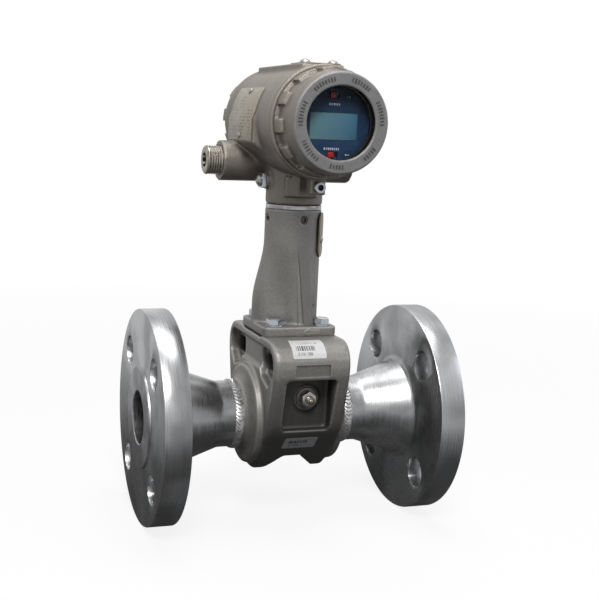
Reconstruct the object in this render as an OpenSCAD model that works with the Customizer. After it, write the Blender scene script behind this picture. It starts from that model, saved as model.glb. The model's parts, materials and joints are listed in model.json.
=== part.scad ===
// Flanged vortex flow meter: weld neck flanges, cast meter body with a shedder bar,
// support tube and a turning housing with a display cover and a terminal cover.
// The flow axis is X, the display faces -Y and the neck rises along +Z.

/* [Pipe run] */
// Distance between the two raised faces
face_to_face = 222; // [216:1:260]
// Bore of the flanges and the welds
bore_d = 38.1; // [36:0.1:41]
// Outside diameter of the weld ends
pipe_d = 48.3; // [47:0.1:52]
// Gap between the parts at the root of each weld
root_gap = 2; // [1:0.1:3]
// Straight land at the root of each weld
root_face = 2; // [1:0.1:3]
// Angle of the weld bevel
bevel_angle = 37.5; // [25:0.5:45]
// Height of the weld bead over the pipe
bead_h = 1.6; // [0.5:0.1:3]

/* [Flanges] */
// Outside diameter of the flange
flange_d = 155.4; // [150:0.1:170]
// Thickness of the flange with its raised face
flange_t = 20.6; // [16:0.1:26]
// Gap between the raised face and the bolt holes
raised_face_gap = 9.45; // [5:0.05:13]
// Height of the raised face
raised_face_h = 1.6; // [1:0.1:3]
// Gap between the bolt holes and the hub's base
hub_gap = 11.05; // [8:0.05:15]
// Radius between the flange and its hub
hub_fillet = 5; // [2:0.5:8]
// Length from the raised face to the weld end
hub_length = 68.3; // [62:0.1:74]
// Length from the raised face to the end of the taper
taper_length = 56.7; // [48:0.1:60]
// Diameter of the bolt circle as a share of the flange's
bolt_circle_share = 0.73552; // [0.7:0.00001:0.78]
// Diameter of the bolt holes
bolt_hole_d = 22.2; // [16:0.1:24]
// Number of bolt holes
bolt_holes = 4; // [4:4:8]
// Chamfer of the flange rims
rim_chamfer = 1; // [0.5:0.1:2]

/* [Meter body] */
// Bore of the meter body
body_bore_d = 37.3; // [34:0.1:37.6]
// Length of the frame along the pipe
body_w = 57; // [54:0.5:62]
// Depth of the frame from front to back
body_depth = 114; // [108:0.5:124]
// Height of the seat for the support tube over the flow axis
seat_z = 61.6; // [60:0.1:68]
// Depth of the frame below the flow axis
belly_d = 81; // [76:0.5:88]
// Diameter of the end disc round each pipe end
disc_d = 73; // [70:0.5:76]
// How far the end disc stands out of the frame
disc_reach = 5.2; // [3:0.1:7]
// Diameter of the waist between the two lobes
waist_d = 56; // [53:0.5:66]
// Radius of the frame's top corners
shoulder_r = 16; // [10:0.5:20]
// Rounding of the frame's long edges
frame_edge = 3.4; // [1:0.1:4]
// Wall between the frame's faces and its pockets
pocket_wall = 5.4; // [4:0.1:8]
// Wall between the base bolt holes and the pockets in the two ends
pocket_skin = 0.8; // [0.5:0.1:2]
// Width of the window in the front and the back
window_w = 37.4; // [30:0.1:40]
// Height of the window
window_h = 38.7; // [34:0.1:42]
// Height of the window's lower edge over the flow axis
window_z = -2.8; // [-5:0.1:0]
// Depth of the window from the front face
window_depth = 19; // [15:0.5:20.5]
// Width of the marking recess
mark_w = 25.6; // [20:0.1:30]
// Height of the marking recess
mark_h = 8.2; // [6:0.1:10]
// Depth of the marking recess
mark_depth = 0.8; // [0.4:0.1:1.5]
// Width of the paper labels
label_w = 24.6; // [18:0.1:30]
// Thickness of the paper labels
label_t = 0.3; // [0.2:0.05:0.6]

/* [Shedder and sensor] */
// Width of the shedder bar's upstream face
shedder_w = 10.4; // [9:0.1:12]
// Width of the shedder bar's downstream edge
shedder_tail = 4.4; // [3:0.1:6]
// Length of the shedder bar along the flow
shedder_len = 14.6; // [12:0.1:18]
// Depth that the shedder bar is let into the wall
shedder_seat = 2; // [1:0.1:3]
// Diameter of the post between the shedder bar and the sensor
post_d = 9; // [7:0.1:9]
// Diameter of the sensor's base
sensor_d = 20; // [18:0.1:22]
// Height of the sensor's base
sensor_h = 6; // [4:0.5:8]
// Diameter of the sensor's stem
stem_d = 12; // [10:0.1:13]
// Width of the sensor nut across its flats
sensor_nut_af = 25; // [23:0.1:26]
// Height of the sensor nut
sensor_nut_h = 12; // [8:0.5:14]
// Diameter of the well over the sensor
well_d = 31; // [30.4:0.1:32]
// Diameter of the sensor cable
cable_d = 5; // [3:0.1:6]
// Diameter of the sensor cable's connector
connector_d = 9; // [7:0.1:9.5]

/* [Ground stud] */
// Place of the stud along the pipe
stud_x = 2; // [-3:0.1:3]
// Height of the stud over the flow axis
stud_z = 19.5; // [17:0.1:22]
// Thread diameter of the stud
stud_d = 6; // [5:0.1:7]
// Width of the nut across its flats
stud_nut_af = 10; // [9.5:0.1:11]
// Height of the nut
stud_nut_h = 5; // [4:0.1:6]
// Diameter of the wide washer
stud_washer_d = 15; // [13:0.1:15.6]
// Diameter of the raised ring round the stud
stud_ring_d = 18.6; // [17.5:0.1:20]

/* [Support tube] */
// Side of the square base plate
plate_side = 55.6; // [54:0.1:57]
// Thickness of the base plate
plate_t = 6.8; // [5:0.1:9]
// Corner radius of the base plate
plate_corner = 5.7; // [3:0.1:8]
// Outside diameter of the tube
neck_d = 40.7; // [38:0.1:42]
// Height of the tube over the base plate
neck_h = 82.6; // [76:0.1:96]
// Inside diameter of the tube
neck_bore_d = 29; // [28:0.1:30]
// How far the foot flares to the outlet side
foot_flare = 7.4; // [4:0.1:8]
// Half spacing of the base bolts along the pipe
base_bolt_x = 17.5; // [17:0.1:19]
// Half spacing of the base bolts across the pipe
base_bolt_y = 20.5; // [20:0.1:21]
// Thread diameter of the base bolts
base_bolt_d = 6.35; // [5:0.05:7]
// Width of the base bolt heads across their flats
base_bolt_af = 11.1; // [10:0.1:12]
// Height of the base bolt heads
base_bolt_head = 4.2; // [3:0.1:5.5]
// Diameter of the base bolt washers
base_washer_d = 13; // [12.4:0.1:13.6]
// Thickness of the washers
washer_t = 1.2; // [0.8:0.1:2]
// Height of the bright ring over the tube
ring_h = 3; // [2:0.1:4]
// Diameter of the housing set screws
set_screw_d = 5.5; // [4.5:0.1:6]
// Number of housing set screws
set_screws = 3; // [1:1:4]
// Width of the tag on the tube
tag_w = 14; // [10:0.1:16]
// Height of the tag on the tube
tag_h = 32; // [24:0.1:34]
// Thickness of the metal tags
tag_t = 0.9; // [0.6:0.1:1.5]

/* [Housing] */
// Height of the housing axis over the bright ring
head_rise = 58.6; // [56:0.1:62]
// Outside diameter of the barrel
barrel_d = 75; // [74:0.1:76.4]
// Inside diameter of both compartments
chamber_d = 65; // [63:0.1:66]
// Distance from the neck axis to the barrel's front rim
barrel_front = 54; // [53:0.1:60]
// Distance from the neck axis to the barrel's back rim
barrel_back = 54; // [52:0.1:60]
// Diameter of the collar under the barrel
collar_d = 41; // [40:0.1:43]
// Diameter of the spigot inside the support tube
spigot_d = 26; // [22:0.1:27]
// Length of the spigot
spigot_h = 20; // [16:0.5:26]
// Radial clearance of the spigot in the tube
spigot_gap = 0.05; // [0.02:0.01:0.09]
// Bore of the spigot for the sensor cable
spigot_bore_d = 13; // [11:0.1:15]
// Width of the pad on top of the barrel
pad_w = 32; // [28:0.1:36]
// Length of the pad on top of the barrel
pad_l = 93; // [80:0.5:98]
// Height of the pad over the housing axis
pad_z = 38.6; // [38:0.1:43]
// Diameter of the front and back rims of the barrel
rim_d = 77.2; // [76.6:0.1:79]
// Half width of the barrel's flat sides over the conduit bosses
flank_x = 39.4; // [38.6:0.1:41]
// Diameter of the conduit bosses
conduit_boss_d = 29; // [27:0.1:31]
// Distance from the neck axis to each conduit boss face
conduit_reach = 50; // [49:0.1:54]
// Distance of the conduit axis behind the neck axis
conduit_y = 25; // [23:0.1:30]
// Distance of the conduit axis below the housing axis
conduit_drop = 29.6; // [27:0.1:31]
// Thread diameter of the conduit entries
conduit_d = 20.8; // [19:0.1:21.4]
// Length of the conduit plug that stands out
plug_reach = 11; // [6:0.1:14]
// Thickness of the wall between the two compartments
partition_t = 5; // [3:0.1:7]
// Distance from the neck axis to the front of that wall
partition_y = 8; // [7.5:0.1:9]

/* [Covers] */
// Outside diameter of the cover lugs
lug_d = 73; // [72.4:0.1:76]
// Number of cover lugs
lugs = 12; // [6:1:16]
// Height of the cover lugs
lug_h = 2.9; // [1.5:0.1:3.2]
// Length of the lug band
lug_band = 12; // [9:0.1:14]
// Length of the display cover in front of the barrel
display_cover_l = 30; // [28.5:0.1:34]
// Diameter of the display cover's front ring
front_ring_d = 64; // [62:0.1:66]
// Diameter of the window in the display cover
glass_view_d = 47.2; // [44:0.1:49]
// Diameter of the window glass
glass_d = 53.6; // [52:0.1:55]
// Thickness of the window glass
glass_t = 6; // [5:0.1:7.5]
// Length of the terminal cover behind the barrel
terminal_cover_l = 17; // [15:0.1:20]
// Length of the thread on each cover
cover_thread_l = 10; // [8:0.1:12]
// Radial clearance of the cover threads
thread_gap = 0.08; // [0.05:0.01:0.1]
// Section diameter of the cover seals
seal_d = 2.4; // [2:0.1:2.6]

/* [Display and electronics] */
// Diameter of the display faceplate
faceplate_d = 57; // [54:0.1:58]
// Distance from the faceplate to the neck axis
faceplate_y = 70; // [69:0.1:71]
// Width of the liquid crystal window
lcd_w = 34; // [28:0.1:36]
// Height of the liquid crystal window
lcd_h = 18; // [14:0.1:20]
// Distance of each setting switch from the housing axis
switch_rise = 19.4; // [17.6:0.1:20]
// Travel of each setting switch
switch_travel = 3; // [2:0.1:4]
// Thickness of the circuit boards
board_t = 1.6; // [1:0.1:2]
// Diameter of the electronics module
module_d = 58; // [54:0.1:60]
// Length of the electronics module
module_l = 48; // [40:0.1:50]
// Diameter of the terminal block
terminal_d = 54; // [53.8:0.1:58]
// Number of terminals
terminals = 5; // [3:1:5]

/* [Hidden] */
// Overrun of the cutting shapes
cut = 1;
// Clearance round parts that are screwed or slipped into place
fit = 0.1;
// Steps along a rounded corner
corner_steps = 5;
$fn = 96;
half_run = face_to_face / 2;
bore_r = bore_d / 2;
pipe_r = pipe_d / 2;
hub_end = half_run - hub_length;
body_end = hub_end - root_gap;
root_r = bore_r + root_face;
bevel_run = (pipe_r - root_r) * tan(bevel_angle);
flange_back = half_run - flange_t;
bolt_circle_d = flange_d * bolt_circle_share;
raised_face_d = bolt_circle_d - bolt_hole_d - 2 * raised_face_gap;
hub_base_d = bolt_circle_d - bolt_hole_d - 2 * hub_gap;
half_w = body_w / 2;
half_depth = body_depth / 2;
window_floor = half_depth - window_depth;
belly_r = belly_d / 2;
disc_r = disc_d / 2;
disc_x = half_w + disc_reach;
plate_top = seat_z + plate_t;
neck_r = neck_d / 2;
neck_top = plate_top + neck_h;
ring_top = neck_top + ring_h;
head_z = ring_top + head_rise;
barrel_r = barrel_d / 2;
chamber_r = chamber_d / 2;
lug_r = lug_d / 2;
lug_root_r = lug_r - lug_h;
// Gap between each cover and the barrel
seam = 0.3;

// Points along an arc in a plane
function arc(cx, cy, r, a0, a1, steps = corner_steps) =
    [for (i = [0 : steps]) let (a = a0 + (a1 - a0) * i / steps) [cx + r * cos(a), cy + r * sin(a)]];
function unit2(v) = v / norm(v);
// One corner of an outline, rounded by its third value
function round_corner(p, q, s) =
    let (u = unit2([p[0] - q[0], p[1] - q[1]]), v = unit2([s[0] - q[0], s[1] - q[1]]),
        half = acos(u * v) / 2, run = q[2] / tan(half), m = unit2(u + v), c = m * q[2] / sin(half),
        a = atan2(u[1] * run - c[1], u[0] * run - c[0]), b = atan2(v[1] * run - c[1], v[0] * run - c[0]),
        turn = b - a > 180 ? b - a - 360 : b - a < -180 ? b - a + 360 : b - a)
    q[2] == 0 ? [[q[0], q[1]]] : arc(q[0] + c[0], q[1] + c[1], q[2], a, a + turn);
// An outline of corners [x, y, radius]
function rounded(pts) = let (n = len(pts))
    [for (i = [0 : n - 1]) each round_corner(pts[(i + n - 1) % n], pts[i], pts[(i + 1) % n])];
// The same corners mirrored in the second axis of the plane
function mirrored(pts) = concat(pts, [for (i = [len(pts) - 1 : -1 : 0]) [-pts[i][0], pts[i][1], pts[i][2]]]);
function smooth(t) = t <= 0 ? 0 : t >= 1 ? 1 : t * t * (3 - 2 * t);
// A smooth bump of one at angle zero that ends at the angle w
function bump(a, w) = let (d = abs(((a % 360) + 540) % 360 - 180)) d >= w ? 0 : pow(cos(90 * d / w), 2);

// Turns a shape that rises along Z to point along +X
module to_x() { rotate([0, 90, 0]) children(); }
// Turns a shape that rises along Z to point along +Y
module to_y() { rotate([-90, 0, 0]) children(); }
// Turns a shape that rises along Z to point along -Y
module to_front() { rotate([90, 0, 0]) children(); }
// Places the housing axis
module at_head() { translate([0, 0, head_z]) children(); }
// Stretches an outline in the Y and Z plane along X, centred on the pipe
module slab_x(length) { rotate([90, 0, 90]) linear_extrude(length, center = true) children(); }
module rounded_rect(w, h, r) {
    polygon(rounded([[w / 2, h / 2, r], [-w / 2, h / 2, r], [-w / 2, -h / 2, r], [w / 2, -h / 2, r]]));
}
module ring(od, id, h) {
    difference() {
        cylinder(h = h, d = od);
        translate([0, 0, -cut]) cylinder(h = h + 2 * cut, d = id);
    }
}
module hexagon(af, h) { cylinder(h = h, d = af / cos(30), $fn = 6); }
// Hex socket that opens upwards at z = 0
module hex_socket(af, depth) {
    translate([0, 0, -depth]) hexagon(af, depth + cut);
}
// Screw with a domed head that sits on z = 0 and a shank below it
module dome_screw(head_d, head_h, shank_d, shank_l) {
    dome_r = (pow(head_d / 2, 2) + pow(head_h, 2)) / (2 * head_h);
    intersection() {
        translate([0, 0, head_h - dome_r]) sphere(r = dome_r);
        cylinder(h = head_h, d = head_d);
    }
    translate([0, 0, -shank_l]) cylinder(h = shank_l, d = shank_d);
}

/* Flanges and welds */
function flange_outline() = concat(
    [[bore_r, hub_end], [bore_r, half_run], [raised_face_d / 2, half_run],
        [raised_face_d / 2, half_run - raised_face_h],
        [flange_d / 2 - rim_chamfer, half_run - raised_face_h],
        [flange_d / 2, half_run - raised_face_h - rim_chamfer],
        [flange_d / 2, flange_back + rim_chamfer], [flange_d / 2 - rim_chamfer, flange_back]],
    arc(hub_base_d / 2 + hub_fillet, flange_back - hub_fillet, hub_fillet, 90, 160),
    [[pipe_r, half_run - taper_length], [pipe_r, hub_end + bevel_run], [root_r, hub_end]]);
module flange() {
    difference() {
        to_x() rotate_extrude() polygon(flange_outline());
        for (i = [0 : bolt_holes - 1]) rotate([360 * (i + 0.5) / bolt_holes, 0, 0])
            translate([flange_back - cut, 0, bolt_circle_d / 2]) to_x()
                cylinder(h = flange_t + 2 * cut, d = bolt_hole_d);
    }
}
module inlet_flange() { color("gainsboro") flange(); }
module outlet_flange() { color("gainsboro") mirror([1, 0, 0]) flange(); }
// The bead fills the bevels of both parts and stands over the pipe
module weld() {
    mid = (hub_end + body_end) / 2;
    reach = root_gap / 2 + bevel_run;
    bead_r = (pow(reach, 2) + pow(bead_h, 2)) / (2 * bead_h);
    span = asin(reach / bead_r);
    to_x() rotate_extrude() polygon(concat(
        [[root_r, body_end], [bore_r, body_end], [bore_r, hub_end], [root_r, hub_end]],
        arc(pipe_r + bead_h - bead_r, mid, bead_r, span, -span, 8)));
}
module inlet_weld() { color("silver") weld(); }
module outlet_weld() { color("silver") mirror([1, 0, 0]) weld(); }

/* Meter body */
// Height at which the frame's faces start to lean in
brow_z = 38;
brow_r = 22;
// How far the faces lean in down to there
brow_in = 1;
// The hip, where the lower faces turn towards the belly
hip_y = 46;
hip_z = -3;
hip_r = 26;
// The belly's flat and its rounding
belly_y = 11;
belly_edge = 12;
// Corners of the frame seen along the pipe, drawn in by a distance
function frame_corners(inset = 0) = mirrored([[-(half_depth - inset), seat_z, shoulder_r],
    [-(half_depth - brow_in - inset), brow_z, brow_r], [-(hip_y - inset), hip_z, hip_r],
    [-(belly_y - inset / 2), -belly_r + inset, belly_edge]]);
module frame_section(inset = 0) { polygon(rounded(frame_corners(inset))); }
// The frame's long edges are rounded in two steps
module frame_block() {
    hull() {
        slab_x(body_w - 2 * frame_edge) frame_section();
        slab_x(body_w - frame_edge) frame_section(frame_edge / 6);
        slab_x(body_w) frame_section(frame_edge * 0.7);
    }
}
// Width of the notch between the two lobes, cut under the frame
notch_w = 14;
module belly_notch() {
    lip = belly_r - waist_d / 2;
    rotate([90, 0, 0]) linear_extrude(body_depth, center = true)
        polygon([[-notch_w / 2, -waist_d / 2], [notch_w / 2, -waist_d / 2],
            [notch_w / 2 + lip + cut, -belly_r - cut], [-notch_w / 2 - lip - cut, -belly_r - cut]]);
}
// Outline of the pipe boss and its end disc, from the weld to the middle
disc_round = 2;
function boss_outline() = let (start = body_end - bevel_run, n = 2 * corner_steps)
    concat([[0, 0], [0, body_end], [root_r, body_end], [pipe_r, start]],
        [for (i = [1 : n]) let (a = 90 * i / n)
            [pipe_r + (disc_r - disc_round - pipe_r) * (1 - cos(a)), start - (start - disc_x) * sin(a)]],
        arc(disc_r - disc_round, disc_x - disc_round, disc_round, 80, 0),
        [[disc_r, half_w - frame_edge], [waist_d / 2, half_w - frame_edge], [waist_d / 2, 0]]);
module pipe_boss() { to_x() rotate_extrude() polygon(boss_outline()); }
// Corners of one end pocket beside the post, seen along the pipe. The post is waisted.
post_half = 17.5;
post_top = 22;
post_foot = 24;
pocket_foot_y = 41;
pocket_foot_z = 28;
pocket_toe_z = 33.5;
pocket_roof = 6;
pocket_r = 8;
module pocket_section() {
    deep = half_depth - pocket_wall;
    roof = seat_z - pocket_roof;
    polygon(rounded([[post_foot, pocket_toe_z, pocket_r / 2], [pocket_foot_y, pocket_foot_z, pocket_r / 2],
        [deep - brow_in, brow_z, pocket_r], [deep, roof, shoulder_r - pocket_wall],
        [post_top, roof, pocket_r / 4], [post_half, (roof + pocket_toe_z) / 2, 2 * pocket_r]]));
}
// The inner part of a pocket, over the window and under the base bolts
pocket_back_x = 13;
module deep_pocket_section() {
    deep = half_depth - pocket_wall - brow_in;
    low = window_z + window_h + pocket_skin + mark_depth;
    high = seat_z - base_bolt_l - pocket_skin;
    polygon(rounded([[post_half, low, pocket_r / 4], [deep, low, pocket_r / 4], [deep, high, pocket_r / 2],
        [post_half, high, pocket_r / 2]]));
}
module end_pockets() {
    floor_x = base_bolt_x + base_bolt_d / 2 + fit + pocket_skin;
    for (end = [0, 1], side = [0, 1]) mirror([end, 0, 0]) mirror([0, side, 0]) rotate([90, 0, 90]) {
        translate([0, 0, floor_x]) linear_extrude(half_w - floor_x + cut) pocket_section();
        translate([0, 0, pocket_back_x]) linear_extrude(half_w - pocket_back_x + cut)
            intersection() {
                pocket_section();
                deep_pocket_section();
            }
    }
}
// The post between the pockets stands back from the frame's ends
post_back = 2.4;
module post_relief() {
    for (end = [0, 1]) mirror([end, 0, 0])
        translate([half_w - post_back, -post_top - cut, disc_r + post_back])
            cube([post_back + cut, 2 * (post_top + cut), seat_z - pocket_roof - disc_r - post_back]);
}
// Slot left open under the base plate at each end
slot_w = 42;
slot_h = 1.3;
slot_run = 6;
module plate_slots() {
    for (end = [0, 1]) mirror([end, 0, 0]) translate([half_w - slot_run, -slot_w / 2, seat_z - slot_h])
        cube([slot_run + cut, slot_w, slot_h + cut]);
}
// The window narrows a little towards its foot
window_taper = 0.8;
window_r = 3;
module windows() {
    top = window_z + window_h;
    for (side = [0, 1]) mirror([0, side, 0]) translate([0, -window_floor, 0]) to_front()
        linear_extrude(half_depth) polygon(rounded([[window_w / 2, top, window_r],
            [-window_w / 2, top, window_r], [-window_w / 2 + window_taper, window_z, window_r],
            [window_w / 2 - window_taper, window_z, window_r]]));
}
mark_rise = 2.9;
module mark_recess() {
    translate([0, -(half_depth - mark_depth - brow_in), window_z + window_h + mark_rise + mark_h / 2])
        to_front() linear_extrude(half_depth) square([mark_w, mark_h], center = true);
}
// Ring and recess round the stud, on the window's floor
stud_ring_h = 1.2;
module stud_seat() {
    translate([stud_x, -window_floor, stud_z]) to_front() difference() {
        translate([0, 0, -cut]) cylinder(h = stud_ring_h + cut, d = stud_ring_d);
        cylinder(h = stud_ring_h + cut, d = stud_washer_d + 4 * fit);
    }
}
stud_hole_l = 12;
drain_d = 12;
drain_x = -5;
drain_h = 3;
base_bolt_l = 12;
// The seats of the shedder bar, the hole of its post and the well of the sensor
shedder_top = body_bore_d / 2 + shedder_seat;
sensor_z = 30;
module shedder_section() {
    polygon([[shedder_len / 2, shedder_w / 2], [-shedder_len / 2, shedder_tail / 2],
        [-shedder_len / 2, -shedder_tail / 2], [shedder_len / 2, -shedder_w / 2]]);
}
module at_base_bolts() {
    for (x = [-1, 1], y = [-1, 1]) translate([x * base_bolt_x, y * base_bolt_y, 0]) children();
}
module meter_body() {
    color("darkgray") difference() {
        union() {
            difference() {
                frame_block();
                belly_notch();
                end_pockets();
                post_relief();
                plate_slots();
                windows();
                mark_recess();
            }
            pipe_boss();
            mirror([1, 0, 0]) pipe_boss();
            stud_seat();
            translate([drain_x, 0, -waist_d / 2 - drain_h]) cylinder(h = drain_h + cut, d = drain_d);
        }
        translate([-body_end - cut, 0, 0]) to_x() cylinder(h = 2 * (body_end + cut), d = body_bore_d);
        translate([0, 0, -shedder_top]) linear_extrude(2 * shedder_top) shedder_section();
        cylinder(h = seat_z, d = post_d + 2 * fit);
        translate([0, 0, sensor_z]) cylinder(h = seat_z, d = well_d);
        at_base_bolts() translate([0, 0, seat_z - base_bolt_l])
            cylinder(h = base_bolt_l + cut, d = base_bolt_d + 2 * fit);
        translate([stud_x, -window_floor + stud_hole_l, stud_z]) to_front()
            cylinder(h = stud_hole_l + cut, d = stud_d + 2 * fit);
    }
}
// Two plain paper labels: one on the shoulder, one on the lower front
// Each one's place from the middle, its middle height and its own height
upper_label = [-2.6, 56.7, 10];
lower_label = [0, -14.7, 9.8];
label_r = 1.2;
module body_labels() {
    color("white") intersection() {
        slab_x(body_w) difference() {
            frame_section(-label_t);
            frame_section();
        }
        union() for (label = [upper_label, lower_label])
            translate([label[0], 0, label[1]]) to_front() linear_extrude(half_depth + 2 * label_t)
                rounded_rect(label_w, label[2], label_r);
    }
}

/* Shedder bar, sensor and cable */
module shedder_bar() {
    color("silver") {
        translate([0, 0, -shedder_top]) linear_extrude(2 * shedder_top) shedder_section();
        translate([0, 0, shedder_top]) cylinder(h = sensor_z - shedder_top, d = post_d);
    }
}
stem_h = 24;
module vortex_sensor() {
    color("lightsteelblue") {
        translate([0, 0, sensor_z]) cylinder(h = sensor_h, d = sensor_d);
        translate([0, 0, sensor_z + sensor_h]) cylinder(h = stem_h, d = stem_d);
    }
}
sensor_top = sensor_z + sensor_h + stem_h;
module sensor_nut() {
    color("silver") translate([0, 0, sensor_z + sensor_h]) difference() {
        hexagon(sensor_nut_af, sensor_nut_h);
        translate([0, 0, -cut]) cylinder(h = sensor_nut_h + 2 * cut, d = stem_d + 2 * fit);
    }
}
connector_h = 12;
// The connector ends just under the electronics module
cable_top = head_z - module_d / 2 - seam;
module sensor_cable() {
    color("dimgray") {
        translate([0, 0, sensor_top]) cylinder(h = cable_top - connector_h - sensor_top, d = cable_d);
        translate([0, 0, cable_top - connector_h]) cylinder(h = connector_h, d = connector_d);
    }
}

/* Ground stud in the front window */
spring_washer_d = 11;
stud_tip = 3;
module at_stud() { translate([stud_x, -window_floor, stud_z]) to_front() children(); }
module ground_stud() {
    reach = 2 * washer_t + stud_nut_h + stud_tip;
    color("silver") at_stud() {
        translate([0, 0, -stud_hole_l + cut]) cylinder(h = stud_hole_l - cut + reach, d = stud_d);
        translate([0, 0, reach]) dome_screw(stud_d, stud_tip / 2, stud_d, cut);
    }
}
module ground_stud_washers() {
    color("silver") at_stud() {
        ring(stud_washer_d, stud_d + 2 * fit, washer_t);
        translate([0, 0, washer_t]) ring(spring_washer_d, stud_d + 2 * fit, washer_t);
    }
}
module ground_stud_nut() {
    color("silver") at_stud() translate([0, 0, 2 * washer_t]) difference() {
        hexagon(stud_nut_af, stud_nut_h);
        translate([0, 0, -cut]) cylinder(h = stud_nut_h + 2 * cut, d = stud_d + 2 * fit);
    }
}

/* Support tube */
// Heights over the base plate at which the foot starts to narrow and the tube is round
foot_z = 14;
waist_z = 60;
// The flare points to the outlet side, and the front left is drawn in behind its bolt
flare_angle = 172;
flare_span = 52;
hollow_angle = -124;
hollow_span = 42;
hollow_in = 4.4;
foot_rings = 13;
foot_sides = 72;
function foot_radius(a, t) =
    neck_r + t * (foot_flare * bump(a - flare_angle, flare_span)
        - hollow_in * bump(a - hollow_angle, hollow_span));
function foot_points() = [for (i = [0 : foot_rings])
    let (z = i == 0 ? 0 : i == foot_rings ? neck_h : foot_z + (waist_z - foot_z) * (i - 1) / (foot_rings - 2),
        t = 1 - smooth((z - foot_z) / (waist_z - foot_z)))
    each [for (j = [0 : foot_sides - 1]) let (a = 360 * j / foot_sides, r = foot_radius(a, t))
        [r * cos(a), r * sin(a), z]]];
function foot_faces() = concat([[for (j = [0 : foot_sides - 1]) j]],
    [[for (j = [foot_sides - 1 : -1 : 0]) foot_rings * foot_sides + j]],
    [for (i = [0 : foot_rings - 1], j = [0 : foot_sides - 1])
        let (k = (j + 1) % foot_sides, b = i * foot_sides)
        each [[b + j, b + foot_sides + j, b + foot_sides + k], [b + j, b + foot_sides + k, b + k]]]);
// The flat pillar that runs down the front of the tube
pillar_x = [0.5, 9.5];
pillar_top_x = [-3, 4];
pillar_out = 1.3;
pillar_h = 56;
pillar_top_in = 0.4;
module pillar() {
    hull() {
        translate([pillar_x[0], -neck_r - pillar_out, 0]) cube([pillar_x[1] - pillar_x[0], neck_r, cut]);
        translate([pillar_top_x[0], pillar_top_in - neck_r, pillar_h])
            cube([pillar_top_x[1] - pillar_top_x[0], neck_r, cut]);
    }
}
// Distance of the set screws below the tube's top
set_screw_drop = 7;
set_screw_turn = -86;
module at_set_screws() {
    for (i = [0 : set_screws - 1]) translate([0, 0, neck_top - set_screw_drop])
        rotate([0, 0, set_screw_turn - 90 * i]) to_x() children();
}
tag_turn = -31;
tag_lift = 18;
module at_tag() {
    translate([0, 0, plate_top + neck_h - tag_lift]) rotate([0, 0, tag_turn]) translate([neck_r, 0, 0])
        rotate([0, 90, 0]) rotate([0, 0, 90]) children();
}
tag_pin_d = 3;
tag_pin_l = 4;
// How far the pin sits below the tag's middle
tag_pin_drop = 3.5;
arrow_h = 0.5;
arrow_l = 11;
arrow_w = 5;
arrow_x = 8;
module flow_arrow() {
    translate([arrow_x, -plate_side / 2, seat_z + plate_t / 2]) to_front() translate([0, 0, -cut])
        linear_extrude(arrow_h + cut) difference() {
            polygon([[-arrow_l / 2, 0], [-arrow_l / 6, arrow_w / 2], [-arrow_l / 6, arrow_w / 5],
                [arrow_l / 2, arrow_w / 5], [arrow_l / 2, -arrow_w / 5], [-arrow_l / 6, -arrow_w / 5],
                [-arrow_l / 6, -arrow_w / 2]]);
            polygon([[-arrow_l / 3, 0], [-arrow_l / 4, arrow_w / 5], [-arrow_l / 5, arrow_w / 12],
                [arrow_l / 2 - arrow_h, arrow_w / 12], [arrow_l / 2 - arrow_h, -arrow_w / 12],
                [-arrow_l / 5, -arrow_w / 12], [-arrow_l / 4, -arrow_w / 5]]);
        }
}
bolt_relief = 1.5;
// Room left under the spigot
spigot_room = 3;
spigot_seat = spigot_h + spigot_room;
module support_tube() {
    color("gray") difference() {
        union() {
            translate([0, 0, seat_z]) linear_extrude(plate_t)
                rounded_rect(plate_side, plate_side, plate_corner);
            translate([0, 0, plate_top]) polyhedron(foot_points(), foot_faces());
            translate([0, 0, plate_top]) pillar();
            flow_arrow();
        }
        translate([0, 0, seat_z - cut]) cylinder(h = neck_top - spigot_seat - seat_z + cut, d = neck_bore_d);
        translate([0, 0, neck_top - spigot_seat - cut])
            cylinder(h = spigot_seat + 2 * cut, d = spigot_d + 2 * spigot_gap);
        at_base_bolts() {
            translate([0, 0, seat_z - cut]) cylinder(h = plate_t + 2 * cut, d = base_bolt_d + 2 * fit);
            translate([0, 0, plate_top]) cylinder(h = foot_z, d = base_washer_d + bolt_relief);
        }
        at_set_screws() cylinder(h = neck_d, d = set_screw_d + 2 * fit);
        at_tag() translate([0, -tag_pin_drop, -tag_pin_l])
            cylinder(h = tag_pin_l + cut, d = tag_pin_d + 2 * fit);
    }
}
module base_washers() {
    color("silver") at_base_bolts() translate([0, 0, plate_top])
        ring(base_washer_d, base_bolt_d + 2 * fit, washer_t);
}
module base_bolts() {
    color("silver") at_base_bolts() {
        translate([0, 0, plate_top + washer_t]) hexagon(base_bolt_af, base_bolt_head);
        translate([0, 0, seat_z - base_bolt_l + cut])
            cylinder(h = base_bolt_l - cut + plate_t + washer_t, d = base_bolt_d);
    }
}
module neck_tag() {
    color("tan") at_tag() difference() {
        linear_extrude(tag_t) rounded_rect(tag_w, tag_h, tag_w * 0.4);
        translate([0, -tag_pin_drop, -cut]) cylinder(h = tag_t + 2 * cut, d = tag_pin_d + 2 * fit);
    }
}
module neck_tag_pin() {
    color("silver") at_tag() translate([0, -tag_pin_drop, tag_t])
        dome_screw(2 * tag_pin_d, tag_pin_d / 2, tag_pin_d, tag_pin_l);
}
screw_sunk = 0.6;
module housing_set_screws() {
    tip = spigot_d / 2 - groove_in + spigot_gap;
    color("dimgray") at_set_screws() difference() {
        translate([0, 0, tip]) cylinder(h = neck_r - screw_sunk - tip, d = set_screw_d);
        translate([0, 0, neck_r - screw_sunk]) hex_socket(set_screw_d / 2, set_screw_d / 2);
    }
}
ring_in = 0.2;
module neck_ring() {
    color("gainsboro") translate([0, 0, neck_top]) ring(neck_d - 2 * ring_in, spigot_d + 2 * fit, ring_h);
}

/* Housing */
rim_l = 6;
rim_edge = 0.8;
// Rebate under the collar, which shows as a dark line over the bright ring
collar_step = 1.2;
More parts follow.
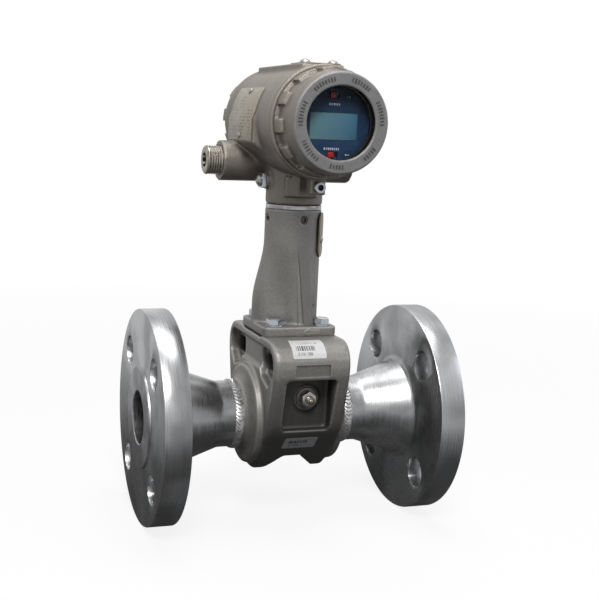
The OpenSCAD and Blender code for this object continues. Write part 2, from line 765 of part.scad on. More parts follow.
// Free space round each seal
seal_room = 0.3;
cover_r = chamber_r - thread_gap;
seal_pocket_r = cover_r + seal_d + 2 * seal_room;
seal_pocket_l = seal_d + seal_room;
pad_edge = 3;
pad_front = -45.5;
pad_dimple_d = 4;
pad_dimple_h = 1;
// The groove that the set screws reach into
groove_w = 8;
groove_in = 1;
// The set screw pad on the collar's front
facet_h = 14;
facet_drop = 38;
facet_shares = [[-0.33, -0.25], [-0.33, -0.47], [-0.13, -0.6], [0.25, -0.52], [0.33, -0.25]];
// The lug under the barrel that holds the cover's lock screw
lock_x = 4;
lock_drop = 44;
lock_lug_w = 11;
lock_lug_y = [-38, -27];
lock_d = 4.6;
lock_head_d = 7.6;
lock_head_h = 4.4;
// The boss of the ground clamp on the collar's outlet side
ground_drop = 42;
ground_boss_d = 12;
ground_boss_x = 23;
ground_d = 4;
ground_l = 9;
function barrel_outline() = let (r = barrel_r, f = -barrel_front, b = barrel_back, m = rim_d / 2)
    [[0, f], [m - rim_edge, f], [m, f + rim_edge], [m, f + rim_l], [r, f + 2 * rim_l],
        [r, b - 2 * rim_l], [m, b - rim_l], [m, b - rim_edge], [m - rim_edge, b], [0, b]];
// The barrel's flat sides, which carry the nameplate and run into the conduit bosses
flank_y = [-21, 41];
flank_z = [-15.5, 0.5];
flank_angles = [145, 230];
flank_in = 0.5;
function flank_side() = let (r = barrel_r - flank_in, a = flank_angles)
    [[r * cos(a[0]), r * sin(a[0])], [-flank_x, flank_z[1]], [-flank_x, flank_z[0]],
        [r * cos(a[1]), r * sin(a[1])]];
module flanks() {
    half = flank_side();
    translate([0, flank_y[1], 0]) to_front() linear_extrude(flank_y[1] - flank_y[0])
        polygon(concat(half, [for (i = [3 : -1 : 0]) [-half[i][0], half[i][1]]]));
}
module conduit_bosses() {
    translate([-conduit_reach, conduit_y, -conduit_drop]) to_x()
        cylinder(h = 2 * conduit_reach, d = conduit_boss_d);
}
module collar() {
    rise = head_z - ring_top;
    translate([0, 0, -rise]) cylinder(h = collar_step, d = collar_d - 2 * collar_step);
    translate([0, 0, collar_step - rise]) cylinder(h = rise - collar_step, d = collar_d);
    difference() {
        translate([0, 0, -rise - ring_h - spigot_h]) cylinder(h = ring_h + spigot_h + cut, d = spigot_d);
        translate([0, 0, neck_top - set_screw_drop - groove_w / 2 - head_z])
            ring(spigot_d + cut, spigot_d - 2 * groove_in, groove_w);
    }
}
module facet_pad() {
    translate([0, 0, -facet_drop - facet_h]) linear_extrude(facet_h) polygon(collar_d * facet_shares);
}
module lock_lug() {
    translate([lock_x - lock_lug_w / 2, lock_lug_y[0], -lock_drop - lock_lug_w / 2])
        cube([lock_lug_w, lock_lug_y[1] - lock_lug_y[0], lock_drop - barrel_r / 2]);
}
module chambers() {
    back = partition_y + partition_t;
    translate([0, partition_y, 0]) to_front() cylinder(h = partition_y + barrel_front + cut, r = chamber_r);
    translate([0, back, 0]) to_y() cylinder(h = barrel_back - back + cut, r = chamber_r);
    translate([0, seal_pocket_l - barrel_front, 0]) to_front()
        cylinder(h = seal_pocket_l + cut, r = seal_pocket_r);
    translate([0, barrel_back - seal_pocket_l, 0]) to_y()
        cylinder(h = seal_pocket_l + cut, r = seal_pocket_r);
}
// Threaded depth of a conduit entry, and the narrower way on into the compartment
conduit_bore_l = 24;
conduit_pass_l = 38;
conduit_pass_d = 16;
module at_conduit(deep) {
    translate([conduit_reach - deep, conduit_y, -conduit_drop]) to_x() children();
}
module housing_bores() {
    foot = head_rise + ring_h + spigot_h + cut;
    translate([0, 0, -foot]) cylinder(h = foot - chamber_r / 2, d = spigot_bore_d);
    for (side = [0, 1]) mirror([side, 0, 0]) {
        at_conduit(conduit_bore_l) cylinder(h = conduit_bore_l + cut, d = conduit_d + 2 * fit);
        at_conduit(conduit_pass_l) cylinder(h = conduit_pass_l, d = conduit_pass_d);
    }
    translate([lock_x, lock_lug_y[0] - cut, -lock_drop]) to_y()
        cylinder(h = lock_lug_y[1] - lock_lug_y[0] + 2 * cut, d = lock_d + 2 * fit);
    translate([-ground_boss_x - cut, 0, -ground_drop]) to_x()
        cylinder(h = ground_l + 2 * cut, d = ground_d + 2 * fit);
    at_top_screws() translate([0, 0, -top_screw_l])
        cylinder(h = top_screw_l + cut, d = top_screw_d + 2 * fit);
    translate([0, pad_front - cut, pad_z - pad_dimple_d]) to_y()
        cylinder(h = pad_dimple_h + cut, d = pad_dimple_d);
    at_nameplate_pins() translate([0, 0, -pin_l - cut]) cylinder(h = pin_l + 2 * cut, d = pin_d + 2 * fit);
    at_module_screws() translate([0, 0, -partition_y - partition_t + cut])
        cylinder(h = partition_t, d = module_screw_d + 2 * fit);
}
module housing() {
    color("darkgray") at_head() difference() {
        union() {
            to_y() rotate_extrude() polygon(barrel_outline());
            flanks();
            translate([0, pad_front + pad_l / 2, 0]) linear_extrude(pad_z)
                rounded_rect(pad_w, pad_l, pad_edge);
            conduit_bosses();
            collar();
            facet_pad();
            lock_lug();
            translate([-ground_boss_x, 0, -ground_drop]) to_x()
                cylinder(h = ground_boss_x, d = ground_boss_d);
        }
        chambers();
        housing_bores();
    }
}
top_screw_x = 10;
top_screw_y = -38;
top_screw_d = 4;
top_screw_l = 3.4;
// Height of a domed head as a share of its shank
head_share = 0.6;
// Small blank plate under those screws
top_plate_l = 26;
top_plate_in = 2;
module at_top_screws() {
    for (x = [-1, 1]) translate([x * top_screw_x, top_screw_y, pad_z]) children();
}
module top_plate() {
    color("tan") at_head() difference() {
        translate([0, pad_front + top_plate_in / 2 + top_plate_l / 2, pad_z]) linear_extrude(tag_t)
            rounded_rect(pad_w - 2 * top_plate_in, top_plate_l, pad_edge - top_plate_in / 2);
        at_top_screws() translate([0, 0, -cut]) cylinder(h = tag_t + 2 * cut, d = top_screw_d + 2 * fit);
    }
}
module top_pad_screws() {
    color("silver") at_head() at_top_screws() translate([0, 0, tag_t])
        dome_screw(2 * top_screw_d, top_screw_d * head_share, top_screw_d, top_screw_l + tag_t - fit);
}

/* Nameplate, bent over the barrel's outlet side */
nameplate_y = [-18, 36];
nameplate_angles = [144, 170];
nameplate_low = -14.5;
pin_d = 2.4;
pin_l = 2.4;
pin_angle = 148.5;
pin_low = -11;
// The path of the plate at a distance from the barrel
function nameplate_path(out) = let (a = nameplate_angles, x = flank_x + out)
    concat(arc(0, 0, barrel_r + out, a[0], a[1], corner_steps), [[-x, flank_z[1]], [-x, nameplate_low]]);
function reversed(list) = [for (i = [len(list) - 1 : -1 : 0]) list[i]];
module at_nameplate_pins() {
    y = (nameplate_y[0] + nameplate_y[1]) / 2;
    rotate([0, -pin_angle, 0]) translate([barrel_r, y, 0]) to_x() children();
    translate([-flank_x, y, pin_low]) rotate([0, -90, 0]) children();
}
module nameplate() {
    color("tan") at_head() difference() {
        translate([0, nameplate_y[1], 0]) to_front() linear_extrude(nameplate_y[1] - nameplate_y[0])
            polygon(concat(nameplate_path(fit), reversed(nameplate_path(fit + tag_t))));
        at_nameplate_pins() translate([0, 0, -cut]) cylinder(h = tag_t + 2 * cut, d = pin_d + 2 * fit);
    }
}
module nameplate_pins() {
    color("silver") at_head() at_nameplate_pins() translate([0, 0, tag_t + 2 * fit])
        dome_screw(2 * pin_d, pin_d * head_share, pin_d, pin_l + tag_t);
}

/* Fittings outside the housing */
plug_in = 14;
thread_pitch = 1.8;
thread_depth = 0.7;
plug_chamfer = 1;
function plug_outline() = let (n = floor((plug_reach - plug_chamfer) / thread_pitch), r = conduit_d / 2)
    concat([[0, -plug_in], [r, -plug_in], [r, 0]],
        [for (i = [0 : n - 1]) let (z = i * thread_pitch)
            each [[r - thread_depth, z + thread_pitch / 2], [r, z + thread_pitch]]],
        [[r, plug_reach - plug_chamfer], [r - plug_chamfer, plug_reach], [0, plug_reach]]);
socket_af = 10;
socket_depth = 8;
module conduit_plug() {
    color("silver") at_head() translate([-conduit_reach, conduit_y, -conduit_drop]) rotate([0, -90, 0])
        difference() {
            rotate_extrude() polygon(plug_outline());
            translate([0, 0, plug_reach]) hex_socket(socket_af, socket_depth);
        }
}
clamp_side = 10.5;
clamp_t = 3;
ground_washer_d = 8.8;
module at_ground() { at_head() translate([-ground_boss_x, 0, -ground_drop]) rotate([0, -90, 0]) children(); }
module ground_clamp() {
    color("silver") at_ground() difference() {
        linear_extrude(clamp_t) rounded_rect(clamp_side, clamp_side, clamp_t / 3);
        translate([0, 0, -cut]) cylinder(h = clamp_t + 2 * cut, d = ground_d + 2 * fit);
    }
}
module ground_screw() {
    color("silver") at_ground() {
        translate([0, 0, clamp_t]) ring(ground_washer_d, ground_d + 2 * fit, washer_t);
        translate([0, 0, clamp_t + washer_t])
            dome_screw(2 * ground_d, ground_d * head_share, ground_d, ground_l + clamp_t);
    }
}
lock_socket_af = 3.8;
module cover_lock_screw() {
    color("silver") at_head() translate([lock_x, lock_lug_y[0], -lock_drop]) to_front() difference() {
        union() {
            cylinder(h = lock_head_h, d = lock_head_d);
            translate([0, 0, lock_lug_y[0] - lock_lug_y[1]])
                cylinder(h = lock_lug_y[1] - lock_lug_y[0] + cut, d = lock_d);
        }
        translate([0, 0, lock_head_h]) hex_socket(lock_socket_af, lock_head_h / 2);
    }
}

/* Electronics and display, drawn facing the front */
module facing() { at_head() to_front() children(); }
module_screw_d = 3;
module_screw_r = 22;
module_front = module_l - partition_y;
module_screw_angles = [60, 180, 300];
module at_module_screws() {
    to_front() for (a = module_screw_angles) rotate([0, 0, a]) translate([module_screw_r, 0, 0]) children();
}
module electronics_module() {
    color("darkgreen") at_head() difference() {
        translate([0, partition_y, 0]) to_front() cylinder(h = module_l, d = module_d);
        at_module_screws() translate([0, 0, -partition_y - cut])
            cylinder(h = module_l + 2 * cut, d = module_screw_d + 2 * fit);
    }
}
module module_screws() {
    color("silver") at_head() at_module_screws() translate([0, 0, module_front])
        dome_screw(2 * module_screw_d, module_screw_d * head_share, module_screw_d,
            module_l + partition_t - 2 * cut);
}
faceplate_t = 1.5;
lcd_t = 5;
board_front = faceplate_y - faceplate_t - lcd_t;
board_back = board_front - board_t;
spacer_d = 5;
spacer_r = 24;
spacer_angles = [42, 138, 222, 318];
module display_spacers() {
    color("gold") facing() for (a = spacer_angles) rotate([0, 0, a]) {
        translate([spacer_r, 0, module_front]) cylinder(h = board_back - module_front, d = spacer_d);
        translate([spacer_r, 0, board_front]) cylinder(h = lcd_t, d = spacer_d);
    }
}
module display_board() {
    color("darkgreen") facing() translate([0, 0, board_back]) cylinder(h = board_t, d = faceplate_d);
}
module lcd_panel() {
    color("darkseagreen") facing() translate([0, -lcd_drop, board_front])
        linear_extrude(faceplate_y - board_front) rounded_rect(lcd_w, lcd_h, faceplate_t / 3);
}
lcd_drop = 2.2;
switch_drop = 1.4;
switch_w = 10;
switch_h = 7;
slider_w = 4;
slider_h = 3.6;
slider_reach = 1.4;
slider_gap = 0.3;
slider_foot = 2;
module switch_slot(grow) {
    square([slider_w + switch_travel + 2 * grow, slider_h + 2 * grow], center = true);
}
module display_faceplate() {
    color("midnightblue") facing() translate([0, 0, faceplate_y - faceplate_t]) difference() {
        cylinder(h = faceplate_t, d = faceplate_d);
        translate([0, -lcd_drop, -cut]) linear_extrude(faceplate_t + 2 * cut)
            rounded_rect(lcd_w + 2 * fit, lcd_h + 2 * fit, faceplate_t / 3);
        for (y = [-1, 1]) translate([0, y * switch_rise - switch_drop, -cut])
            linear_extrude(faceplate_t + 2 * cut) switch_slot(slider_gap);
    }
}
module at_switch(side) { facing() translate([0, side * switch_rise - switch_drop, 0]) children(); }
module switch_base() {
    difference() {
        translate([0, 0, board_front]) linear_extrude(lcd_t) square([switch_w, switch_h], center = true);
        translate([0, 0, board_front + lcd_t - slider_foot]) linear_extrude(lcd_t) switch_slot(slider_gap);
    }
}
module slider() {
    translate([0, 0, faceplate_y - faceplate_t - slider_foot + fit])
        linear_extrude(slider_foot + faceplate_t + slider_reach) square([slider_w, slider_h], center = true);
}
module alarm_switch() { color("black") at_switch(1) switch_base(); }
module alarm_slider() { color("red") at_switch(1) translate([-switch_travel / 2, 0, 0]) slider(); }
module security_switch() { color("black") at_switch(-1) switch_base(); }
module security_slider() { color("red") at_switch(-1) translate([-switch_travel / 2, 0, 0]) slider(); }

/* Terminals behind the partition */
terminal_back = partition_y + partition_t;
terminal_base = 8;
barrier_h = 5;
barrier_t = 1.6;
terminal_pitch = 8.6;
terminal_z = 2;
terminal_screw_d = 4;
block_screw_x = 20;
block_screw_z = -10;
module at_terminals() {
    for (i = [0 : terminals - 1])
        translate([(i - (terminals - 1) / 2) * terminal_pitch, terminal_back, terminal_z]) to_y() children();
}
module at_block_screws() {
    for (x = [-1, 1]) translate([x * block_screw_x, terminal_back, block_screw_z]) to_y() children();
}
module terminal_block() {
    color("dimgray") at_head() difference() {
        union() {
            translate([0, terminal_back, 0]) to_y() cylinder(h = terminal_base, d = terminal_d);
            for (i = [0 : terminals]) translate([(i - terminals / 2) * terminal_pitch - barrier_t / 2,
                terminal_back, terminal_z - terminal_pitch / 2])
                    cube([barrier_t, terminal_base + barrier_h, 2 * terminal_pitch]);
        }
        at_terminals() translate([0, 0, cut])
            cylinder(h = terminal_base + cut, d = terminal_screw_d + 2 * fit);
        at_block_screws() translate([0, 0, -cut])
            cylinder(h = terminal_base + 2 * cut, d = terminal_screw_d + 2 * fit);
    }
}
slot_t = 0.8;
slot_deep = 1.2;
module terminal_screws() {
    color("silver") at_head() at_terminals() translate([0, 0, terminal_base]) difference() {
        dome_screw(terminal_pitch - barrier_t - 2 * fit, terminal_screw_d * head_share, terminal_screw_d,
            terminal_base - 2 * cut);
        translate([-terminal_pitch / 2, -slot_t / 2, terminal_screw_d * head_share - slot_deep])
            cube([terminal_pitch, slot_t, terminal_screw_d]);
    }
}
module terminal_block_screws() {
    color("silver") at_head() at_block_screws() translate([0, 0, terminal_base])
        dome_screw(2 * terminal_screw_d, terminal_screw_d * head_share, terminal_screw_d, terminal_base);
}

/* Covers, drawn from the barrel's rim outwards */
cover_wall = 2.6;
lug_edge = 0.8;
// The plain flange under the lugs, a little smaller than they are
flange_l = 1.6;
flange_in = 0.3;
lug_turn = 5.5;
// One lug from each pair of equal shares of the circle
module lug_ring() {
    share = 180 / lugs;
    for (i = [0 : lugs - 1]) rotate([0, 0, lug_turn + share * (2 * i - 0.5)]) rotate_extrude(angle = share)
        polygon([[lug_root_r - cut, seam + flange_l / 2], [lug_r, seam + flange_l / 2],
            [lug_r, lug_band - lug_edge], [lug_r - lug_edge, lug_band], [lug_root_r - cut, lug_band]]);
}
// The threaded spigot and the flange, which both covers share
function cover_foot(inner) = let (r = lug_r - flange_in) [[lug_root_r, lug_band + lug_edge],
    [lug_root_r, flange_l + seam], [r, flange_l + seam], [r, seam], [cover_r, seam],
    [cover_r, -cover_thread_l], [inner, -cover_thread_l]];
front_edge = 1;
view_chamfer = 0.8;
glass_lip = 2;
retainer_t = 2.4;
function display_cover_outline() =
    let (l = display_cover_l, v = glass_view_d / 2, g = glass_d / 2 + fit, inner = cover_r - cover_wall,
        pocket = l - glass_lip - glass_t - retainer_t)
    concat([[v + view_chamfer, l], [front_ring_d / 2, l], [front_ring_d / 2 + front_edge, l - front_edge]],
        cover_foot(inner), [[inner, pocket - retainer_t], [g, pocket - cut],
        [g, l - glass_lip], [v, l - glass_lip], [v, l - view_chamfer]]);
module on_front_rim() { facing() translate([0, 0, barrel_front]) children(); }
module on_back_rim() { at_head() translate([0, barrel_back, 0]) to_y() children(); }
module display_cover() {
    color("darkgray") on_front_rim() {
        rotate_extrude() polygon(display_cover_outline());
        lug_ring();
    }
}
module cover_glass() {
    color("lightcyan", 0.4) on_front_rim() translate([0, 0, display_cover_l - glass_lip - glass_t])
        cylinder(h = glass_t, d = glass_d);
}
module glass_retainer() {
    color("dimgray") on_front_rim() translate([0, 0, display_cover_l - glass_lip - glass_t - retainer_t])
        ring(glass_d, glass_view_d, retainer_t);
}
module seal_ring() {
    rotate_extrude() translate([cover_r + seal_room + seal_d / 2, -seal_d / 2]) circle(d = seal_d, $fn = 32);
}
module display_cover_seal() { color("black") on_front_rim() seal_ring(); }
cap_edge = 3;
cap_rise = 1;
function terminal_cover_outline() = let (l = terminal_cover_l, inner = cover_r - cover_wall)
    concat([[0, l], [lug_root_r - 2 * cap_edge, l], [lug_root_r - cap_edge, l - cap_rise]],
        cover_foot(inner), [[inner, l - cover_wall - cap_edge], [inner - cap_edge, l - cover_wall],
        [0, l - cover_wall]]);
module terminal_cover() {
    color("darkgray") on_back_rim() {
        rotate_extrude() polygon(terminal_cover_outline());
        lug_ring();
    }
}
module terminal_cover_seal() { color("black") on_back_rim() seal_ring(); }

inlet_flange();
outlet_flange();
inlet_weld();
outlet_weld();
meter_body();
body_labels();
shedder_bar();
vortex_sensor();
sensor_nut();
sensor_cable();
ground_stud();
ground_stud_washers();
ground_stud_nut();
support_tube();
base_washers();
base_bolts();
neck_tag();
neck_tag_pin();
housing_set_screws();
neck_ring();
housing();
nameplate();
nameplate_pins();
top_plate();
top_pad_screws();
conduit_plug();
ground_clamp();
ground_screw();
cover_lock_screw();
electronics_module();
module_screws();
display_board();
display_spacers();
display_faceplate();
lcd_panel();
alarm_switch();
alarm_slider();
security_switch();
security_slider();
terminal_block();
terminal_screws();
terminal_block_screws();
display_cover();
cover_glass();
glass_retainer();
display_cover_seal();
terminal_cover();
terminal_cover_seal();
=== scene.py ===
"""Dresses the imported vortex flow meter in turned, cast and printed finishes.

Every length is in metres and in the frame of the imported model: the flow axis is X,
the display faces -Y and the neck rises along +Z.
"""

import json
import math
from functools import reduce

import bmesh
import bpy
from bpy.props import FloatProperty, FloatVectorProperty, IntProperty, PointerProperty
from mathutils import Matrix, Vector
from mathutils.bvhtree import BVHTree


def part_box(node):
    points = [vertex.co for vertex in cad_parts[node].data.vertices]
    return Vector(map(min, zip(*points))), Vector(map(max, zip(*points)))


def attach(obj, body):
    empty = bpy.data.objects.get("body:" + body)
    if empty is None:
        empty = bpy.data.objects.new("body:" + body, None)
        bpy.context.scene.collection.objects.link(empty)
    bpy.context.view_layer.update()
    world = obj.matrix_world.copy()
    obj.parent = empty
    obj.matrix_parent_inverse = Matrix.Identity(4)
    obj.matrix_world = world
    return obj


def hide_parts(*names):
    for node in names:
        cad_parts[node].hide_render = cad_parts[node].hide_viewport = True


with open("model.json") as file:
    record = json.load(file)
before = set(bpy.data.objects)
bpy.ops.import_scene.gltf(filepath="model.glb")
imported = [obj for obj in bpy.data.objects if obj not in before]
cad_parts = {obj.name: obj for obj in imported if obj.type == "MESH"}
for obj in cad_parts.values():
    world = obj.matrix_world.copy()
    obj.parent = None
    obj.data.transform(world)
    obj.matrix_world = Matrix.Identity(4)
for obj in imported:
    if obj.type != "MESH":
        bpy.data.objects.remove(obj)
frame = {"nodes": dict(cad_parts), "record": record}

bl_info = {
    "name": "Vortex flow meter",
    "version": (1, 0, 0),
    "blender": (4, 5, 0),
    "location": "3D View > Sidebar > Flow Meter",
    "description": "Dresses the packed flow meter in turned, cast and printed finishes",
    "category": "Object",
}

RECORD = frame["record"]
BODIES = {node: body for body, nodes in RECORD["behaviour"]["bodies"].items() for node in nodes}


def middle_of(node):
    """The middle of a CAD node's box."""
    low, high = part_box(node)
    return (low + high) / 2


# Places of the CAD model that the pieces are set by
HUB_END, FACE_X = (corner.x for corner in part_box("inlet_flange"))
FLOOR_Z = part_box("inlet_flange")[0].z
PLATE_TOP, BOLT_SEAT = (corner.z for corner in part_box("base_washers"))
FACEPLATE_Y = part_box("display_faceplate")[0].y
COVER_FRONT, HEAD_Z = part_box("display_cover")[0].y, middle_of("display_cover").z

# Stretches of the body's windows, its end pockets and its marking recess
WINDOW_Z, WINDOW_HALF = (-0.0035, 0.0365), 0.0192
POCKET_Z, POCKET_Y, POCKET_START = (0.034, 0.0555), (0.0155, 0.0525), 0.0115
MARK_Z, MARK_HALF, MARK_FRONT = (0.0388, 0.047), 0.0128, -0.045

# The part of its range that most of a noise lies in
NOISE = (0.35, 0.65)


def linear(code):
    """Linear red, green and blue of an sRGB hex colour."""
    shares = [int(code[i : i + 2], 16) / 255 for i in (1, 3, 5)]
    return tuple(c / 12.92 if c <= 0.04045 else ((c + 0.055) / 1.055) ** 2.4 for c in shares)


def colour(name, text, code):
    """A colour that a user may change."""
    return FloatVectorProperty(
        name=name, description=text, subtype="COLOR", size=3, min=0, max=1, default=linear(code),
    )


def length(name, text, value):
    """A length in metres that a user may change."""
    return FloatProperty(name=name, description=text, default=value, min=0, precision=5, subtype="DISTANCE")


def portion(name, text, value):
    """A share between nothing and one that a user may change."""
    return FloatProperty(name=name, description=text, default=value, min=0, max=1, subtype="FACTOR")


def power(name, text, value):
    """A lamp's power that a user may change."""
    return FloatProperty(name=name, description=text, default=value, min=0, unit="POWER")


class FlowMeterMetals(bpy.types.PropertyGroup):
    """Colours and grain of the steel pieces."""

    casting: colour("Casting", "Blasted steel of the meter body", "#8f8d89")
    casting_edge: colour("Casting edge", "Rubbed steel on the casting's edges", "#c2bfb9")
    neck: colour("Neck", "Blasted steel of the neck", "#898784")
    housing: colour("Housing", "Blasted steel of the housing and covers", "#827c74")
    housing_edge: colour("Housing edge", "Rubbed steel on the housing's edges", "#a8a196")
    ring: colour("Cover ring", "Steel of the front of the display cover", "#838283")
    second_tone: colour("Hollow shade", "Painted shade inside the casting's hollows and down its lower front", "#232321")
    turned: colour("Turned steel", "Machined steel of the flanges", "#bbbcbe")
    bead: colour("Weld", "Steel of the weld beads", "#c4c4c6")
    heat: colour("Heat tint", "Straw tint beside the welds", "#a08f74")
    bright: colour("Fasteners", "Plated steel of bolts, nuts and screws", "#9a9893")
    zinc: colour("Zinc", "Bright zinc of the foot bolts, the clamp and the lock screw", "#b9bec6")
    plug: colour("Plug", "Turned steel of the conduit plug", "#aaa59b")
    grain: length("Grain", "Size of the blasted grain", 0.0007)
    groove: length("Tool pitch", "Distance between two tool marks", 0.0005)
    edge: length("Edge", "Rounding on machined edges", 0.0004)


class FlowMeterPipe(bpy.types.PropertyGroup):
    """Sizes of the flanges and of the weld beads."""

    bore: length("Bore", "Radius of the flange's bore", 0.01905)
    rim: length("Rim", "Radius of the flange", 0.0777)
    plate: length("Plate", "Thickness of the flange with its raised face", 0.0206)
    raised: length("Raised face", "Radius of the raised face", 0.0366)
    step: length("Step", "Height of the raised face", 0.0016)
    hub: length("Hub", "Radius of the hub at the flange", 0.035)
    fillet: length("Fillet", "Radius of the fillet between hub and flange", 0.005)
    pipe: length("Pipe", "Radius of the weld end", 0.02415)
    taper: length("Taper", "Distance from the raised face to the end of the taper", 0.0567)
    circle: length("Bolt circle", "Radius of the bolt circle", 0.05715)
    hole: length("Bolt hole", "Radius of the bolt holes", 0.0111)
    bead_half: length("Bead half width", "Half the width of the weld bead", 0.00338)
    bead_rise: length("Bead rise", "Height of the bead over the pipe", 0.0016)
    root_half: length("Root half width", "Half the width of the weld's root", 0.001)
    root: length("Root", "Radius where the weld's root starts to widen", 0.02105)
    ripple: length("Ripple", "Height of the ripples in the bead", 0.0009)
    ripples: IntProperty(name="Ripples", description="Number of ripples round the pipe", default=56, min=8)


class FlowMeterPrint(bpy.types.PropertyGroup):
    """Colours of the plates, films and plastics."""

    label: colour("Label", "Stuck label on the casting", "#e9e9ea")
    label_ink: colour("Label ink", "Bars on the stuck labels", "#3b3d42")
    tag: colour("Neck tag", "Etched tag on the neck", "#8c806c")
    nameplate: colour("Nameplate", "Etched plate on the housing", "#a39c8d")
    plate_ink: colour("Plate ink", "Filled marks of the etched plates", "#3a352d")
    film: colour("Faceplate", "Printed film round the display", "#223f61")
    film_bar: colour("Faceplate bars", "Plain bars on the faceplate", "#d9dde2")
    glass: colour("Display", "Liquid crystal display", "#668f97")
    glass_right: colour("Display right", "Right side of the display", "#45799a")
    slider: colour("Slider", "Red setting sliders", "#b8151f")
    plastic: colour("Black plastic", "Switch bases and terminal block", "#1b1b1d")


class FlowMeterStage(bpy.types.PropertyGroup):
    """Floor and lamps."""

    floor: colour("Floor", "Pale floor and backdrop", "#f4f4f5")
    key: power("Key lamp", "Power of the large lamp over the left front", 15)
    top: power("Top lamp", "Power of the lamp overhead", 9)
    rim: power("Side lamp", "Power of the lamp on the right", 1.5)
    sky: portion("Room light", "Level of the light from all round", 0.28)
    bounce: colour("Bounce", "Tone of the light that the floor throws back", "#323233")
    floor_gloss: portion("Floor gloss", "Share of the pale floor that polished metal shows", 0.05)


# Materials


def add(tree, kind, *values, get=None, **named):
    """Adds a node with its settings and links, and gives its first output, a named one or all.

    The kind may go without its family, and an operation or a data type may follow it. Values
    fill the node's live inputs in order, and named ones are settings or else inputs.
    """
    name, _, choice = kind.partition(" ")
    families = ("ShaderNode", "GeometryNode", "FunctionNode", "")
    made = tree.nodes.new(next(family + name for family in families if hasattr(bpy.types, family + name)))
    if choice:
        setattr(made, "operation" if hasattr(made, "operation") else "data_type", choice)
    for key in [key for key in named if hasattr(made, key)]:
        setattr(made, key, named.pop(key))
    live = [socket for socket in made.inputs if socket.enabled]
    by_name = {socket.name: socket for socket in reversed(live)}
    asked = [(by_name[key.replace("_", " ")], value) for key, value in named.items()]
    for socket, value in [*zip(live, values), *asked]:
        if isinstance(value, bpy.types.NodeSocket):
            tree.links.new(value, socket)
        else:
            socket.default_value = value
    if get:
        return made.outputs if get == "all" else made.outputs[get]
    return next((socket for socket in made.outputs if socket.enabled), None)


def chain(tree, operation, *values):
    """Values joined one after another by an operation."""
    return reduce(lambda done, value: add(tree, f"Math {operation}", done, value), values)


def within(tree, value, low, high):
    """One inside a stretch and nothing outside it."""
    over, under = add(tree, "Math GREATER_THAN", value, low), add(tree, "Math LESS_THAN", value, high)
    return chain(tree, "MULTIPLY", over, under)


def rgba(triple, level=1.0):
    """A colour with its alpha, made lighter or darker."""
    return (*[min(1.0, c * level) for c in triple], 1.0)


def mottled(tree, spots, base, dark, light):
    """A colour that a noise takes from a darker tone to a lighter one."""
    return add(tree, "Mix RGBA", add(tree, "MapRange", spots, *NOISE), rgba(base, dark), rgba(base, light))


def new_finish(name):
    """A material, its tree, and the object coordinates in it."""
    finish = bpy.data.materials.new(name)
    finish.use_nodes = True
    finish.node_tree.nodes.clear()
    return finish, finish.node_tree, add(finish.node_tree, "TexCoord", get="Object")


def close(finish, surface, height=None, depth=0.0001, strength=1.0, **inputs):
    """The finish, ended by its bump, its shader and its output."""
    tree = finish.node_tree
    if height is not None:
        inputs["Normal"] = add(tree, "Bump", Height=height, Distance=depth, Strength=strength)
    add(tree, "OutputMaterial", add(tree, "BsdfPrincipled", surface, **inputs))
    return finish


def blasted_steel(name, base, edge, grain, rough, second_tone=None, second_tone_mask=None):
    """Blasted casting: a fine grain, soft cloudy tone, faint pits and edges rubbed bright."""
    finish, tree, place = new_finish(name)
    clouds = add(tree, "TexNoise", place, 1 / 0.014, 4)
    pits = add(tree, "TexNoise", place, 1 / (grain * 4), 3)
    fine = add(tree, "TexNoise", place, 1 / grain, 2)
    # The second tone fills where its mask is: painted shade on the meter body, and the cover ring's own
    # steel on the covers.
    ground = add(tree, "Mix RGBA", second_tone_mask(tree, place), rgba(base), rgba(second_tone)) if second_tone_mask else tuple(base)
    level = chain(
        tree, "MULTIPLY", add(tree, "MapRange", clouds, *NOISE, 0.93, 1.05),
        add(tree, "MapRange", fine, *NOISE, 0.88, 1.2), add(tree, "MapRange", pits, 0.38, 0.5, 0.94, 1),
    )
    tone = add(tree, "VectorMath SCALE", ground, level)
    ridge = add(tree, "MapRange", add(tree, "NewGeometry", get="Pointiness"), 0.51, 0.57, 0, 0.45)
    tone = add(tree, "Mix RGBA", ridge, tone, rgba(edge))
    height = chain(tree, "ADD", chain(tree, "MULTIPLY", pits, 0.3), chain(tree, "MULTIPLY", fine, 0.6))
    worn = add(tree, "MapRange", pits, *NOISE, rough - 0.04, rough + 0.05)
    return close(finish, tone, height, 0.0002, 0.6, Metallic=0.5, Roughness=worn)


def painted_hollow_shade(tree, place):
    """How much painted shade darkens the body: most deep in its windows and end pockets, some down its lower
    half, and a little in its marking recess.
    """
    x, y, z = add(tree, "SeparateXYZ", place, get="all")
    across, depth = (add(tree, "Math ABSOLUTE", value) for value in (x, y))
    window = chain(
        tree, "MULTIPLY", within(tree, z, *WINDOW_Z), add(tree, "Math LESS_THAN", across, WINDOW_HALF),
        add(tree, "MapRange", depth, 0.044, 0.053, 1, 0),
    )
    pocket = chain(
        tree, "MULTIPLY", within(tree, z, *POCKET_Z), within(tree, depth, *POCKET_Y),
        add(tree, "Math GREATER_THAN", across, POCKET_START),
        add(tree, "MapRange", across, 0.017, 0.024, 1, 0),
    )
    # Painted shade, darker towards the body's bottom and kept between its end faces.
    lower = add(tree, "MapRange", z, 0, 0.045, 0.5, 0)
    inner = add(tree, "MapRange", across, 0.0275, 0.0292, 1, 0)
    mark = chain(
        tree, "MULTIPLY", within(tree, z, *MARK_Z), add(tree, "Math LESS_THAN", across, MARK_HALF),
        add(tree, "Math LESS_THAN", y, MARK_FRONT), 0.3,
    )
    hollow = chain(tree, "MULTIPLY", chain(tree, "MAXIMUM", window, pocket), 0.85)
    return chain(tree, "MAXIMUM", hollow, chain(tree, "MULTIPLY", lower, inner), mark)


